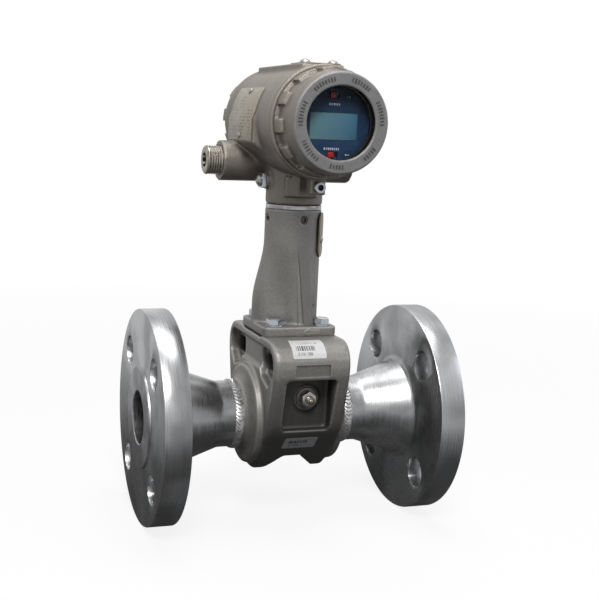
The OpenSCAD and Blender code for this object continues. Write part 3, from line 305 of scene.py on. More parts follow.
def on_ring(tree, place):
    """One on the front ring of the display cover, fading out behind it."""
    depth = add(tree, "SeparateXYZ", place, get="Y")
    return add(tree, "MapRange", depth, COVER_FRONT + 0.0012, COVER_FRONT + 0.0035, 1, 0)


def from_axis(tree, place, centre, axis):
    """The three parts of a place about a centre, the two that cross an axis, and the distance to it."""
    parts = add(tree, "SeparateXYZ", add(tree, "VectorMath SUBTRACT", place, centre), get="all")
    across = [parts[i] for i in range(3) if i != axis]
    squares = (add(tree, "Math POWER", part, 2) for part in across)
    return parts, across, add(tree, "Math SQRT", chain(tree, "ADD", *squares))


def turned_steel(name, base, pitch, rough, centre=(0, 0, 0), axis=0, socket=0.0):
    """Turned steel: tool marks round the axis, fine streaks, painted dark reflections in sectors round the
    axis, and gloss stretched across the marks.
    """
    finish, tree, place = new_finish(name)
    parts, across, radius = from_axis(tree, place, centre, axis)
    angle = add(tree, "Math ARCTAN2", *across)
    run = chain(tree, "ADD", radius, parts[axis])
    marks = add(tree, "Math SINE", chain(tree, "MULTIPLY", run, math.tau / pitch))
    spread = add(tree, "CombineXYZ", run, chain(tree, "MULTIPLY", angle, 0.0012))
    streaks = add(tree, "TexNoise", spread, 1 / (pitch * 1.6), 4)
    bands = add(tree, "TexNoise", spread, 1 / (pitch * 9), 2)
    clouds = add(tree, "TexNoise", place, 1 / 0.02, 3)
    cosine, sine = add(tree, "Math COSINE", angle), add(tree, "Math SINE", angle)
    around = add(tree, "CombineXYZ", cosine, sine, chain(tree, "MULTIPLY", run, 14))
    painted_reflection_sectors = add(tree, "TexNoise", around, 1 / 0.55, 2)
    tone = mottled(tree, streaks, base, 0.88, 1.1)
    # The sectors darken the tone with painted reflections round the axis; the bands and clouds are the
    # steel's own tone.
    for *stretch, level in (
        (bands, *NOISE, 0, 0.5, 0.86), (painted_reflection_sectors, 0.38, 0.56, 0.7, 0, 0.34), (clouds, *NOISE, 0, 0.35, 0.8),
    ):
        tone = add(tree, "Mix RGBA", add(tree, "MapRange", *stretch), tone, rgba(base, level))
    # Painted shade: a key socket inside this radius is painted nearly black.
    if socket:
        tone = add(tree, "Mix RGBA", add(tree, "Math LESS_THAN", radius, socket), tone, rgba(base, 0.04))
    height = chain(tree, "ADD", chain(tree, "MULTIPLY", marks, 0.35), streaks)
    return close(
        finish, tone, height, 0.00002, 0.16, Metallic=0.95, Anisotropic=0.5,
        Roughness=add(tree, "MapRange", streaks, *NOISE, rough - 0.04, rough + 0.05),
        Tangent=add(tree, "Tangent", direction_type="RADIAL", axis="XYZ"[axis]),
    )


def plated_steel(name, base, rough=0.3, socket=None):
    """Plated fastener steel: bright, with faint handling marks.

    A key socket, given as its centre, its axis and its radius, is painted nearly black as shade.
    """
    finish, tree, place = new_finish(name)
    clouds = add(tree, "TexNoise", place, 1 / 0.004, 4, Distortion=0.6)
    scuffs = add(tree, "TexNoise", place, 1 / 0.0006, 2)
    tone = mottled(tree, clouds, base, 0.88, 1.04)
    if socket:
        centre, axis, reach = socket
        inside = add(tree, "Math LESS_THAN", from_axis(tree, place, centre, axis)[2], reach)
        tone = add(tree, "Mix RGBA", inside, tone, rgba(base, 0.04))
    worn = add(tree, "MapRange", clouds, *NOISE, rough - 0.05, rough + 0.07)
    return close(finish, tone, scuffs, 0.00003, 0.4, Metallic=1.0, Roughness=worn)


def threaded_steel(name, base, pitch, axis):
    """Fastener steel with fine thread lines across one axis, with painted shade in their roots and a faint
    painted highlight on their crests.
    """
    finish, tree, place = new_finish(name)
    along = add(tree, "SeparateXYZ", place, get="XYZ"[axis])
    wave = add(tree, "Math SINE", chain(tree, "MULTIPLY", along, math.tau / pitch))
    clouds = add(tree, "TexNoise", place, 1 / 0.003, 3)
    tone = add(tree, "Mix RGBA", add(tree, "MapRange", wave, -1, 1), rgba(base, 0.55), rgba(base, 1.05))
    worn = add(tree, "MapRange", clouds, *NOISE, 0.26, 0.42)
    return close(finish, tone, wave, 0.00025, 0.9, Metallic=1.0, Roughness=worn)


def bead_steel(name, base, tint):
    """Weld bead: silvery crests, and hollows between them darkened by painted shade and a straw heat tint.
    """
    finish, tree, place = new_finish(name)
    clouds = add(tree, "TexNoise", place, 1 / 0.003, 4)
    fine = add(tree, "TexNoise", place, 1 / 0.0005, 2)
    crest = add(tree, "Attribute", attribute_name="crest", get="Fac")
    # Painted shade with real heat tint: the hollows between ripples go dark and straw-coloured.
    hollow = add(tree, "MapRange", crest, 0.15, 0.6, 0.85, 0)
    tone = add(tree, "Mix RGBA", hollow, mottled(tree, clouds, base, 0.8, 1.2), rgba(tint, 0.3))
    worn = add(tree, "MapRange", clouds, *NOISE, 0.26, 0.42)
    return close(finish, tone, fine, 0.00005, 0.5, Metallic=0.8, Roughness=worn)


def moulded(name, base, rough=0.45, **inputs):
    """Moulded plastic or rubber: a fine mould grain and a little cloudiness."""
    finish, tree, place = new_finish(name)
    fine = add(tree, "TexNoise", place, 1 / 0.0008, 2)
    clouds = add(tree, "TexNoise", place, 1 / 0.008, 2)
    tone = mottled(tree, clouds, base, 0.88, 1.1)
    worn = add(tree, "MapRange", fine, *NOISE, rough - 0.05, rough + 0.08)
    return close(finish, tone, fine, 0.00004, 0.5, Roughness=worn, **inputs)


def bars_mask(tree, across, up, pitch, run, seed):
    """Rows of plain bars of uneven length, as a mask."""
    row = add(tree, "Math DIVIDE", up, pitch)
    inside = add(tree, "Math LESS_THAN", add(tree, "Math FRACT", row), 0.45)
    shift = chain(tree, "MULTIPLY", add(tree, "Math FLOOR", row), run * 3.7)
    spot = add(tree, "CombineXYZ", across, shift, seed)
    words = add(tree, "Math GREATER_THAN", add(tree, "TexNoise", spot, 1 / run, 0), 0.47)
    cells = ((across, run * 8), (up, pitch * 4))
    cell = [add(tree, "Math FLOOR", add(tree, "Math DIVIDE", value, size)) for value, size in cells]
    block = add(tree, "TexWhiteNoise", add(tree, "CombineXYZ", *cell, seed), get="Value")
    return chain(tree, "MULTIPLY", inside, words, add(tree, "Math GREATER_THAN", block, 0.4))


# The labels' middles and sizes, and their rows: a stretch in shares of the label, a bar's size, a level
LABELS = ((-0.0026, 0.0567, 0.0246, 0.01), (0.0, -0.0147, 0.0246, 0.0098))
LABEL_ROWS = (
    (-0.37, 0.2, 0.0, 0.26, 0.0007, 0.88), (-0.34, 0.1, -0.3, -0.1, 0.0009, 0.5),
    (-0.3, 0.3, 0.34, 0.42, 0.0005, 0.35),
)


def printed_label(name, base, ink):
    """Stuck labels: satin paper, a row of dark upright bars and two faint fine rows."""
    finish, tree, place = new_finish(name)
    x, _, z = add(tree, "SeparateXYZ", place, get="all")
    dust = add(tree, "TexNoise", place, 1 / 0.004, 3)
    tone = mottled(tree, dust, base, 0.93, 1)
    for centre, middle, width, tall in LABELS:
        for left, right, low, high, run, level in LABEL_ROWS:
            spot = add(tree, "CombineXYZ", x, 0, middle)
            mask = chain(
                tree, "MULTIPLY", within(tree, z, middle + low * tall, middle + high * tall),
                within(tree, x, centre + left * width, centre + right * width),
                add(tree, "Math GREATER_THAN", add(tree, "TexNoise", spot, 1 / run, 0), 0.49), level,
            )
            tone = add(tree, "Mix RGBA", mask, tone, rgba(ink))
    return close(finish, tone, dust, 0.00003, 0.4, Roughness=0.42)


def etched_plate(name, base, ink, across, pitch, run, stretches, seed):
    """Etched plate: brushed metal with filled rows of plain bars inside a margin."""
    finish, tree, place = new_finish(name)
    parts = add(tree, "SeparateXYZ", place, get="all")
    margins = [within(tree, parts[axis], low, high) for axis, low, high in stretches]
    mask = chain(tree, "MULTIPLY", bars_mask(tree, parts[across], parts[2], pitch, run, seed), *margins)
    brushed = add(tree, "Mapping", Vector=place, Scale=(1.0, 0.06, 1.0))
    streaks = add(tree, "TexNoise", brushed, 1 / 0.0004, 3)
    tone = mottled(tree, streaks, base, 0.85, 1.08)
    tone = add(tree, "Mix RGBA", chain(tree, "MULTIPLY", mask, 0.55), tone, rgba(ink))
    height = chain(tree, "SUBTRACT", chain(tree, "MULTIPLY", streaks, 0.3), mask)
    worn = add(tree, "MapRange", streaks, *NOISE, 0.32, 0.5)
    return close(finish, tone, height, 0.00008, 0.5, Metallic=0.4, Roughness=worn)


def window_glass(name):
    """Tempered window: nearly clear, with a soft sheen and faint dust."""
    finish, tree, place = new_finish(name)
    dust = add(tree, "TexNoise", place, 1 / 0.006, 3)
    tone = add(tree, "Mix RGBA", dust, (0.06, 0.07, 0.075, 1), (0.12, 0.13, 0.135, 1))
    return close(finish, tone, Roughness=0.04, Alpha=add(tree, "MapRange", dust, *NOISE, 0.03, 0.06))


def film(name, base):
    """Printed film: deep colour under a satin coat."""
    finish, tree, place = new_finish(name)
    weave = add(tree, "TexNoise", place, 1 / 0.0005, 2)
    tone = mottled(tree, add(tree, "TexNoise", place, 1 / 0.01, 2), base, 0.9, 1.12)
    return close(finish, tone, weave, 0.00002, 0.4, Roughness=0.38, Specular_IOR_Level=0.15)


def display_glass(name, base, shade, rim=0.0005):
    """Liquid crystal display: grey-green on its left, bluer on its right and dark round its edge."""
    finish, tree, place = new_finish(name)
    x, _, z = add(tree, "SeparateXYZ", place, get="all")
    low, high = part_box("lcd_panel")
    sides = within(tree, x, low.x + rim, high.x - rim), within(tree, z, low.z + rim, high.z - rim)
    pane = mottled(tree, add(tree, "TexNoise", place, 1 / 0.0009, 1), base, 0.93, 1.05)
    pane = add(tree, "Mix RGBA", add(tree, "MapRange", x, low.x, high.x), pane, rgba(shade))
    tone = add(tree, "Mix RGBA", chain(tree, "MULTIPLY", *sides), rgba(base, 0.3), pane)
    return close(finish, tone, Roughness=0.2, Specular_IOR_Level=0.3)


# Meshes


def link(name, data):
    """An object of the scene that holds some data."""
    made = bpy.data.objects.new(name, data)
    bpy.context.scene.collection.objects.link(made)
    return made


def place_mesh(name, mesh, finish):
    """A piece at the origin with its finish."""
    mesh.materials.clear()
    mesh.materials.append(finish)
    return link(name, mesh)


def modify(piece, kind, **values):
    """Adds a modifier with its settings."""
    made = piece.modifiers.new(kind.title(), kind)
    for key, value in values.items():
        setattr(made, key, value)


def plain_mesh(piece):
    """The plain mesh that an object's modifiers or its curve make."""
    bpy.context.view_layer.update()
    graph = bpy.context.evaluated_depsgraph_get()
    mesh = bpy.data.meshes.new_from_object(piece.evaluated_get(graph), depsgraph=graph)
    if not mesh.polygons:
        raise RuntimeError(f"{piece.name} came out empty")
    return mesh


def settle(piece):
    """Turns a piece's modifiers into its plain mesh."""
    mesh = plain_mesh(piece)
    piece.modifiers.clear()
    piece.data = mesh
    return piece


def smooth(piece, angle=32):
    """Smooth shading with sharp edges past an angle in degrees."""
    piece.data.polygons.foreach_set("use_smooth", [True] * len(piece.data.polygons))
    piece.data.set_sharp_from_angle(angle=math.radians(angle))
    return piece


def ended(shell, mesh):
    """The mesh of a shell whose loose points are joined and whose faces point outward."""
    bmesh.ops.remove_doubles(shell, verts=shell.verts, dist=1e-7)
    bmesh.ops.recalc_face_normals(shell, faces=shell.faces)
    shell.to_mesh(mesh)
    shell.free()
    return mesh


def outward(piece):
    """Joins a piece's loose points and turns its faces outward."""
    shell = bmesh.new()
    shell.from_mesh(piece.data)
    ended(shell, piece.data)
    return piece


def skin(shell, rows, closed=True, joined=True):
    """Faces between neighbouring rows of points, closed along each row, and joined last to first."""
    for i in range(len(rows) if joined else len(rows) - 1):
        row, after = rows[i], rows[(i + 1) % len(rows)]
        for j in range(len(row) if closed else len(row) - 1):
            k = (j + 1) % len(row)
            shell.faces.new((row[j], row[k], after[k], after[j]))


def merged_copy(node):
    """A mesh of a CAD node whose loose triangles are joined and whose flat faces are whole."""
    shell = bmesh.new()
    shell.from_mesh(frame["nodes"][node].data)
    bmesh.ops.remove_doubles(shell, verts=shell.verts, dist=2e-6)
    bmesh.ops.dissolve_limit(shell, angle_limit=math.radians(0.6), verts=shell.verts, edges=shell.edges)
    mesh = bpy.data.meshes.new(node)
    shell.to_mesh(mesh)
    shell.free()
    return mesh


def surface_of(node):
    """A CAD node's surface, to find points of it along a line."""
    shell = bmesh.new()
    shell.from_mesh(frame["nodes"][node].data)
    surface = BVHTree.FromBMesh(shell)
    shell.free()
    return surface


def front_of(surface, x, z):
    """How far to the front a surface reaches at a place."""
    spot = surface.ray_cast(Vector((x, -1, z)), Vector((0, 1, 0)))[0]
    if spot is None:
        raise RuntimeError("A front face was not found")
    return spot.y


def carry(piece, node):
    """The piece rides on a node's body."""
    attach(piece, BODIES[node])
    return piece


def stand_for(piece, node):
    """The piece rides on its node's body and is shown in its place."""
    carry(piece, node)
    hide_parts(node)
    return piece


def repaint(node, finish):
    """Gives a CAD node that stays shown its finish."""
    held = frame["nodes"][node]
    held.data.materials.clear()
    held.data.materials.append(finish)


def bevel(piece, width, angle):
    """Eases a piece's edges past an angle in degrees."""
    modify(piece, "BEVEL", width=width, segments=2, limit_method="ANGLE", angle_limit=math.radians(angle))
    return settle(piece)


def eased(node, finish, width=0.0002):
    """A machined node with its edges eased."""
    piece = place_mesh(f"{node}_dressed", merged_copy(node), finish)
    return stand_for(smooth(bevel(piece, width, 32)), node)


def cast(node, finish, voxel, rounds):
    """A cast node with every edge worn soft."""
    piece = place_mesh(f"{node}_cast", merged_copy(node), finish)
    modify(piece, "REMESH", mode="VOXEL", voxel_size=voxel)
    modify(piece, "SMOOTH", factor=0.5, iterations=rounds)
    settle(piece)
    piece.data.polygons.foreach_set("use_smooth", [True] * len(piece.data.polygons))
    return stand_for(piece, node)


def ring_of(steps):
    """The cosine and sine of equal steps round a circle."""
    return [(math.cos(math.tau * i / steps), math.sin(math.tau * i / steps)) for i in range(steps)]


def lathe(name, profile, turns, finish):
    """A closed profile of (radius, height) turned about Z."""
    shell = bmesh.new()
    skin(shell, [[shell.verts.new((r * c, r * s, z)) for r, z in profile] for c, s in ring_of(turns)])
    return place_mesh(name, ended(shell, bpy.data.meshes.new(name)), finish)


def hexagon_mesh(name, flats, tall, hole=0.0, both=False, washer=0.0, steps=72):
    """A hexagon head or nut along +Z whose corners are turned down to arcs."""
    flat_r, slope = flats / 2 * 0.96, math.tan(math.radians(30))
    shell = bmesh.new()
    columns = []
    for i, (cosine, sine) in enumerate(ring_of(steps)):
        reach = flats / 2 / math.cos((math.tau * i / steps + math.pi / 6) % (math.pi / 3) - math.pi / 6)
        fall = (reach - flat_r) * slope
        levels = [(flat_r, washer), (reach, washer + fall * both), (reach, tall - fall), (flat_r, tall)]
        if washer:
            levels.insert(0, (flat_r, 0.0))
        if hole:
            levels += [(hole, tall), (hole, 0.0)]
        columns.append([shell.verts.new((r * cosine, r * sine, z)) for r, z in levels])
    skin(shell, columns, closed=bool(hole))
    if not hole:
        shell.faces.new([column[-1] for column in columns])
        shell.faces.new([column[0] for column in reversed(columns)])
    return ended(shell, bpy.data.meshes.new(name))


def loop_object(name, points):
    """A closed line through points."""
    line = bpy.data.curves.new(name, "CURVE")
    line.dimensions = "3D"
    spline = line.splines.new("POLY")
    spline.points.add(len(points) - 1)
    for point, place in zip(spline.points, points):
        point.co = (*place, 1)
    spline.use_cyclic_u = True
    return link(name, line)


# Geometry node trees


def new_growth(name, **values):
    """A geometry tree, and the sockets of its named inputs, whose kinds are told by their values."""
    kinds = {type(None): "Object", float: "Float", int: "Int", tuple: "Vector"}
    tree = bpy.data.node_groups.new(name, "GeometryNodeTree")
    for key, value in values.items():
        kind = f"NodeSocket{kinds[type(value)]}"
        socket = tree.interface.new_socket(key.replace("_", " "), in_out="INPUT", socket_type=kind)
        if value is not None:
            socket.default_value = value
    tree.interface.new_socket("Finish", in_out="INPUT", socket_type="NodeSocketMaterial")
    tree.interface.new_socket("Geometry", in_out="OUTPUT", socket_type="NodeSocketGeometry")
    return tree, add(tree, "NodeGroupInput", get="all")


def end_growth(tree, given, shape):
    """Realizes the instances, sets the finish and ends the tree."""
    real = add(tree, "RealizeInstances", shape)
    add(tree, "NodeGroupOutput", add(tree, "SetMaterial", Geometry=real, Material=given["Finish"]))
    return tree


def grow(name, tree, finish, **values):
    """A plain mesh made by a tree with the values of its named inputs."""
    piece = place_mesh(name, bpy.data.meshes.new(name), finish)
    growth = piece.modifiers.new("Growth", "NODES")
    growth.node_group = tree
    ids = {item.name: item.identifier for item in tree.interface.items_tree if item.in_out == "INPUT"}
    growth[ids["Finish"]] = finish
    for key, value in values.items():
        growth[ids[key.replace("_", " ")]] = value
    return settle(piece)


def swept(tree, profile, radius, steps):
    """A profile object swept round a circle."""
    path = add(tree, "CurvePrimitiveCircle", Resolution=steps, Radius=radius)
    section = add(tree, "GeometryNodeObjectInfo", profile, get="Geometry")
    return add(tree, "CurveToMesh", Curve=path, Profile_Curve=section)


def flange_tree():
    """A turned profile with a circle of bolt holes."""
    tree, given = new_growth(
        "Turned flange", Profile=None, Path_radius=0.02, Steps=240, Holes=4, Bolt_circle=0.057,
        Hole_radius=0.011, Plate=0.02, Plate_centre=0.1,
    )
    shell = swept(tree, given["Profile"], given["Path radius"], given["Steps"])
    depth = chain(tree, "MULTIPLY", given["Plate"], 2)
    drill = add(tree, "MeshCylinder", Vertices=64, Radius=given["Hole radius"], Depth=depth)
    spots = add(tree, "MeshCircle", Vertices=given["Holes"], Radius=given["Bolt circle"])
    drills = add(tree, "InstanceOnPoints", Points=spots, Instance=drill)
    half = add(tree, "Math DIVIDE", math.pi, given["Holes"])
    moved = add(
        tree, "Transform", drills, Translation=add(tree, "CombineXYZ", Z=given["Plate centre"]),
        Rotation=add(tree, "CombineXYZ", Z=half),
    )
    cutter = add(tree, "RealizeInstances", moved)
    drilled = add(tree, "MeshBoolean", operation="DIFFERENCE", Mesh_1=shell, Mesh_2=cutter)
    return end_growth(tree, given, drilled)


def bead_tree():
    """A weld's section turned about X, with overlapping ripples laid into its crown."""
    tree, given = new_growth(
        "Weld bead", Profile=None, Pipe_radius=0.024, Half_width=0.0034, Ripples=56, Ripple_height=0.0009,
        Centre=0.04,
    )
    ten_each = chain(tree, "MULTIPLY", given["Ripples"], 10)
    tube = swept(tree, given["Profile"], given["Pipe radius"], ten_each)
    place = add(tree, "InputPosition")
    x, y, z = add(tree, "SeparateXYZ", place, get="all")
    out = add(tree, "CombineXYZ", x, y)
    over = add(tree, "Math SUBTRACT", add(tree, "VectorMath LENGTH", out), given["Pipe radius"])
    crown = add(tree, "MapRange", over, 0.0001, 0.0006)
    turn = add(tree, "Math DIVIDE", add(tree, "Math ARCTAN2", y, x), math.tau)
    side = add(tree, "Math POWER", add(tree, "Math DIVIDE", z, given["Half width"]), 2)
    wander = add(tree, "TexNoise", place, 190, 1)
    phase = chain(
        tree, "ADD", chain(tree, "MULTIPLY", turn, given["Ripples"]), chain(tree, "MULTIPLY", side, 0.85),
        chain(tree, "MULTIPLY", wander, 0.7),
    )
    crest = add(tree, "Math SQRT", add(tree, "Math FRACT", phase))
    fall = chain(tree, "MULTIPLY", add(tree, "Math SUBTRACT", crest, 1), crown)
    sink = chain(tree, "MULTIPLY", fall, given["Ripple height"])
    push = add(tree, "VectorMath SCALE", add(tree, "VectorMath NORMALIZE", out), sink)
    level = chain(tree, "ADD", fall, 1)
    marked = add(tree, "StoreNamedAttribute", Geometry=tube, Name="crest", Value=level)
    laid = add(
        tree, "Transform", add(tree, "SetPosition", Geometry=marked, Offset=push),
        Rotation=(0, math.pi / 2, 0), Translation=add(tree, "CombineXYZ", X=given["Centre"]),
    )
    return end_growth(tree, given, add(tree, "SetShadeSmooth", laid))


def rows_tree():
    """Copies of a fastener in rows and columns round a centre."""
    tree, given = new_growth(
        "Fastener rows", Fastener=None, Columns=2, Rows=2, Width=0.035, Depth=0.041, Centre=(0.0, 0.0, 0.0),
    )
    spots = add(
        tree, "MeshGrid", Size_X=given["Width"], Size_Y=given["Depth"],
        Vertices_X=given["Columns"], Vertices_Y=given["Rows"],
    )
    item = add(tree, "GeometryNodeObjectInfo", given["Fastener"], get="Geometry")
    turn = chain(tree, "MULTIPLY", add(tree, "InputIndex"), 0.37)
    turned = add(tree, "CombineXYZ", Z=turn)
    copies = add(tree, "InstanceOnPoints", Points=spots, Instance=item, Rotation=turned)
    return end_growth(tree, given, add(tree, "Transform", copies, Translation=given["Centre"]))


def ring_tree():
    """Copies of a fastener round a vertical axis, each pointing outwards."""
    tree, given = new_growth(
        "Fastener ring", Fastener=None, Number=3, Radius=0.025, Height=0.14, First_angle=math.radians(-86),
        Angle_step=-math.pi / 2,
    )
    spots = add(tree, "MeshLine", Count=given["Number"], Offset=(0, 0, 0))
    step = chain(tree, "MULTIPLY", add(tree, "InputIndex"), given["Angle step"])
    angle = chain(tree, "ADD", given["First angle"], step)
    turns = [add(tree, f"Math {part}", angle) for part in ("COSINE", "SINE")]
    flat = [chain(tree, "MULTIPLY", turn, given["Radius"]) for turn in turns]
    place = add(tree, "CombineXYZ", *flat, given["Height"])
    placed = add(tree, "SetPosition", Geometry=spots, Position=place)
    item = add(tree, "GeometryNodeObjectInfo", given["Fastener"], get="Geometry")
    turned = add(tree, "CombineXYZ", 0, math.pi / 2, angle)
    copies = add(tree, "InstanceOnPoints", Points=placed, Instance=item, Rotation=turned)
    return end_growth(tree, given, copies)


def stood_blocks(tree, given, spots, sizes, low, high, **choice):
    """Blocks on points, stretched at random between two scales and stood up to face the front."""
    block = add(tree, "MeshCube", add(tree, "CombineXYZ", *(given[size] for size in sizes)))
    stretch = add(tree, "RandomValue FLOAT_VECTOR", Min=low, Max=high, Seed=given["Seed"])
    copies = add(tree, "InstanceOnPoints", Points=spots, Instance=block, Scale=stretch, **choice)
    stood = add(tree, "Transform", copies, Rotation=(math.pi / 2, 0, 0), Translation=given["Centre"])
    return end_growth(tree, given, stood)


def bars_tree():
    """A row of thin raised bars of uneven length on a vertical face, for plain print."""
    tree, given = new_growth(
        "Printed bars", Number=4, Width=0.02, Bar_height=0.0007, Bar_length=0.003, Thickness=0.00006,
        Centre=(0.0, 0.0, 0.0), Seed=3,
    )
    spots = add(tree, "MeshGrid", Size_X=given["Width"], Size_Y=0, Vertices_X=given["Number"], Vertices_Y=1)
    sizes = ("Bar length", "Bar height", "Thickness")
    return stood_blocks(tree, given, spots, sizes, (0.45, 1, 1), (1.15, 1, 1))


def marks_tree():
    """Plain raised bars round a cover's front, in groups of uneven length with gaps between them."""
    tree, given = new_growth(
        "Raised bars", Places=84, Group=12, Radius=0.0282, Bar_length=0.003, Bar_width=0.0011,
        Bar_height=0.0008, Centre=(0.0, 0.0, 0.0), Seed=3,
    )
    spots = add(tree, "MeshCircle", Vertices=given["Places"], Radius=given["Radius"])
    index = add(tree, "InputIndex")
    group = add(tree, "Math FLOOR", add(tree, "Math DIVIDE", index, given["Group"]))
    inside = add(tree, "Math SUBTRACT", index, chain(tree, "MULTIPLY", group, given["Group"]))
    filled = add(tree, "RandomValue FLOAT", Min=0.3, Max=0.7, ID=group, Seed=given["Seed"])
    kept = add(tree, "Math LESS_THAN", inside, chain(tree, "MULTIPLY", filled, given["Group"]))
    angle = chain(tree, "MULTIPLY", add(tree, "Math DIVIDE", index, given["Places"]), math.tau)
    return stood_blocks(
        tree, given, spots, ("Bar length", "Bar width", "Bar height"), (0.75, 0.6, 1), (1.05, 1.2, 1),
        Selection=kept, Rotation=add(tree, "CombineXYZ", Z=angle),
    )


# Operators


def settings():
    """The four groups of sizes and colours."""
    scene = bpy.context.scene
    return scene.flow_meter_metals, scene.flow_meter_pipe, scene.flow_meter_print, scene.flow_meter_stage


class FLOWMETER_OT_flanges(bpy.types.Operator):
    """Turn both weld neck flanges, with their bolt holes"""

    bl_idname = "flowmeter.flanges"
    bl_label = "Flanges"

    def execute(self, context):
        metals, pipe, _, _ = settings()
        finish = turned_steel("turned flange steel", metals.turned, metals.groove, 0.29)
        profile = loop_object("flange_profile", [(r - pipe.pipe, x, 0) for r, x in flange_profile(pipe)])
        tree = flange_tree()
        for node, side in (("inlet_flange", 1), ("outlet_flange", -1)):
            piece = grow(
                f"{node}_turned", tree, finish, Profile=profile, Path_radius=pipe.pipe,
                Bolt_circle=pipe.circle, Hole_radius=pipe.hole, Plate=pipe.plate,
                Plate_centre=pipe.plate / 2 - FACE_X,
            )
            piece.data.transform(Matrix.Rotation(math.pi / 2 * side, 4, "Y"))
            stand_for(smooth(bevel(outward(piece), metals.edge, 60), 24), node)
        bpy.data.objects.remove(profile)
        return {"FINISHED"}


def flange_profile(pipe):
    """The section of a flange, as (radius, place along the pipe)."""
    edge, lead, ease, blend = 0.001, 0.0006, 0.0003, 0.0006
    nose, slant = 0.002, 0.0024
    front, back, waist = FACE_X - pipe.step, FACE_X - pipe.plate, FACE_X - pipe.taper
    arc = [(math.cos(math.radians(a)), math.sin(math.radians(a))) for a in range(90, 161, 10)]
    fillet = [(pipe.hub + pipe.fillet * (1 + c), back - pipe.fillet * (1 - s)) for c, s in arc]
    return [
        (pipe.bore, HUB_END), (pipe.bore, FACE_X - lead), (pipe.bore + lead, FACE_X),
        (pipe.raised - ease, FACE_X), (pipe.raised, FACE_X - ease), (pipe.raised, front),
        (pipe.rim - edge, front), (pipe.rim - edge * 0.3, front - edge * 0.3), (pipe.rim, front - edge),
        (pipe.rim, back + edge), (pipe.rim - edge * 0.3, back + edge * 0.3), (pipe.rim - edge, back),
        *fillet, (pipe.pipe + blend * 4 / 3, waist + blend * 4), (pipe.pipe + blend / 3, waist + blend),
        (pipe.pipe, waist - blend * 2), (pipe.pipe, HUB_END + slant), (pipe.bore + nose, HUB_END),
    ]


class FLOWMETER_OT_welds(bpy.types.Operator):
    """Lay a rippled bead over each root weld"""

    bl_idname = "flowmeter.welds"
    bl_label = "Weld beads"

    def execute(self, context):
        metals, pipe, _, _ = settings()
        finish = bead_steel("rippled weld steel", metals.bead, metals.heat)
        arc = [math.radians(a) for a in range(0, 181, 9)]
        points = [
            (pipe.bore, -pipe.root_half), (pipe.root, -pipe.root_half),
            *[(pipe.pipe + pipe.bead_rise * math.sin(a), -pipe.bead_half * math.cos(a)) for a in arc],
            (pipe.root, pipe.root_half), (pipe.bore, pipe.root_half),
        ]
        profile = loop_object("weld_profile", [(r - pipe.pipe, x, 0) for r, x in points])
        tree = bead_tree()
        for node in ("inlet_weld", "outlet_weld"):
            piece = grow(
                f"{node}_bead", tree, finish, Profile=profile, Pipe_radius=pipe.pipe,
                Half_width=pipe.bead_half, Ripples=pipe.ripples, Ripple_height=pipe.ripple,
                Centre=middle_of(node).x,
            )
            stand_for(smooth(outward(piece), 50), node)
        bpy.data.objects.remove(profile)
        return {"FINISHED"}


class FLOWMETER_OT_casting(bpy.types.Operator):
    """Cast the meter body, its shedder bar and its stuck labels"""

    bl_idname = "flowmeter.casting"
    bl_label = "Meter body"

    def execute(self, context):
        metals, _, print_, _ = settings()
        steel, edge, grain = metals.casting, metals.casting_edge, metals.grain
        # The body's second tone is painted shade in its hollows and down its lower front.
        blasted = blasted_steel("blasted body steel", steel, edge, grain, 0.46, metals.second_tone, painted_hollow_shade)
        cut_mark(cast("meter_body", blasted, 0.001, 3))
        repaint("shedder_bar", turned_steel("milled bar steel", metals.turned, metals.groove, 0.36, axis=2))
        repaint("body_labels", printed_label("printed body label", print_.label, print_.label_ink))
        return {"FINISHED"}


def cut_mark(body):
    """Cuts the bare marking recess over the front window with crisp edges."""
    out, deeper = 0.01, 0.0004
    low, high = MARK_Z
    middle = (low + high) / 2
    floor = front_of(surface_of("meter_body"), 0, middle)
    shell = bmesh.new()
    place = Matrix.Translation((0, floor + deeper - out / 2, middle))
    size = Matrix.Diagonal((2 * MARK_HALF, out, high - low, 1))
    bmesh.ops.create_cube(shell, size=1, matrix=place @ size)
    tool = place_mesh("mark_tool", ended(shell, bpy.data.meshes.new("mark_tool")), body.data.materials[0])
    modify(body, "BOOLEAN", object=tool, operation="DIFFERENCE", solver="EXACT")
    settle(body)
    bpy.data.objects.remove(tool)
    smooth(body, 50)


def arrow_outline(finish):
    """The raised outline of the flow arrow on the base plate's front."""
    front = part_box("support_tube")[0].y
    long_, wide, middle_x, middle_z, rise, sunk = 0.011, 0.005, 0.008, 0.065, 0.0005, 0.0004
    half = [(-0.5, 0), (-0.16, 0.5), (-0.16, 0.2), (0.5, 0.2)]
    shape = half + [(across, -up) for across, up in reversed(half[1:])]
    points = [(middle_x + across * long_, front + sunk, middle_z + up * wide) for across, up in shape]
    line = loop_object("arrow_outline", points)
    line.data.bevel_depth = rise
    line.data.bevel_resolution = 2
    mesh = plain_mesh(line)
    bpy.data.objects.remove(line)
    smooth(carry(place_mesh("flow_arrow", mesh, finish), "support_tube"))


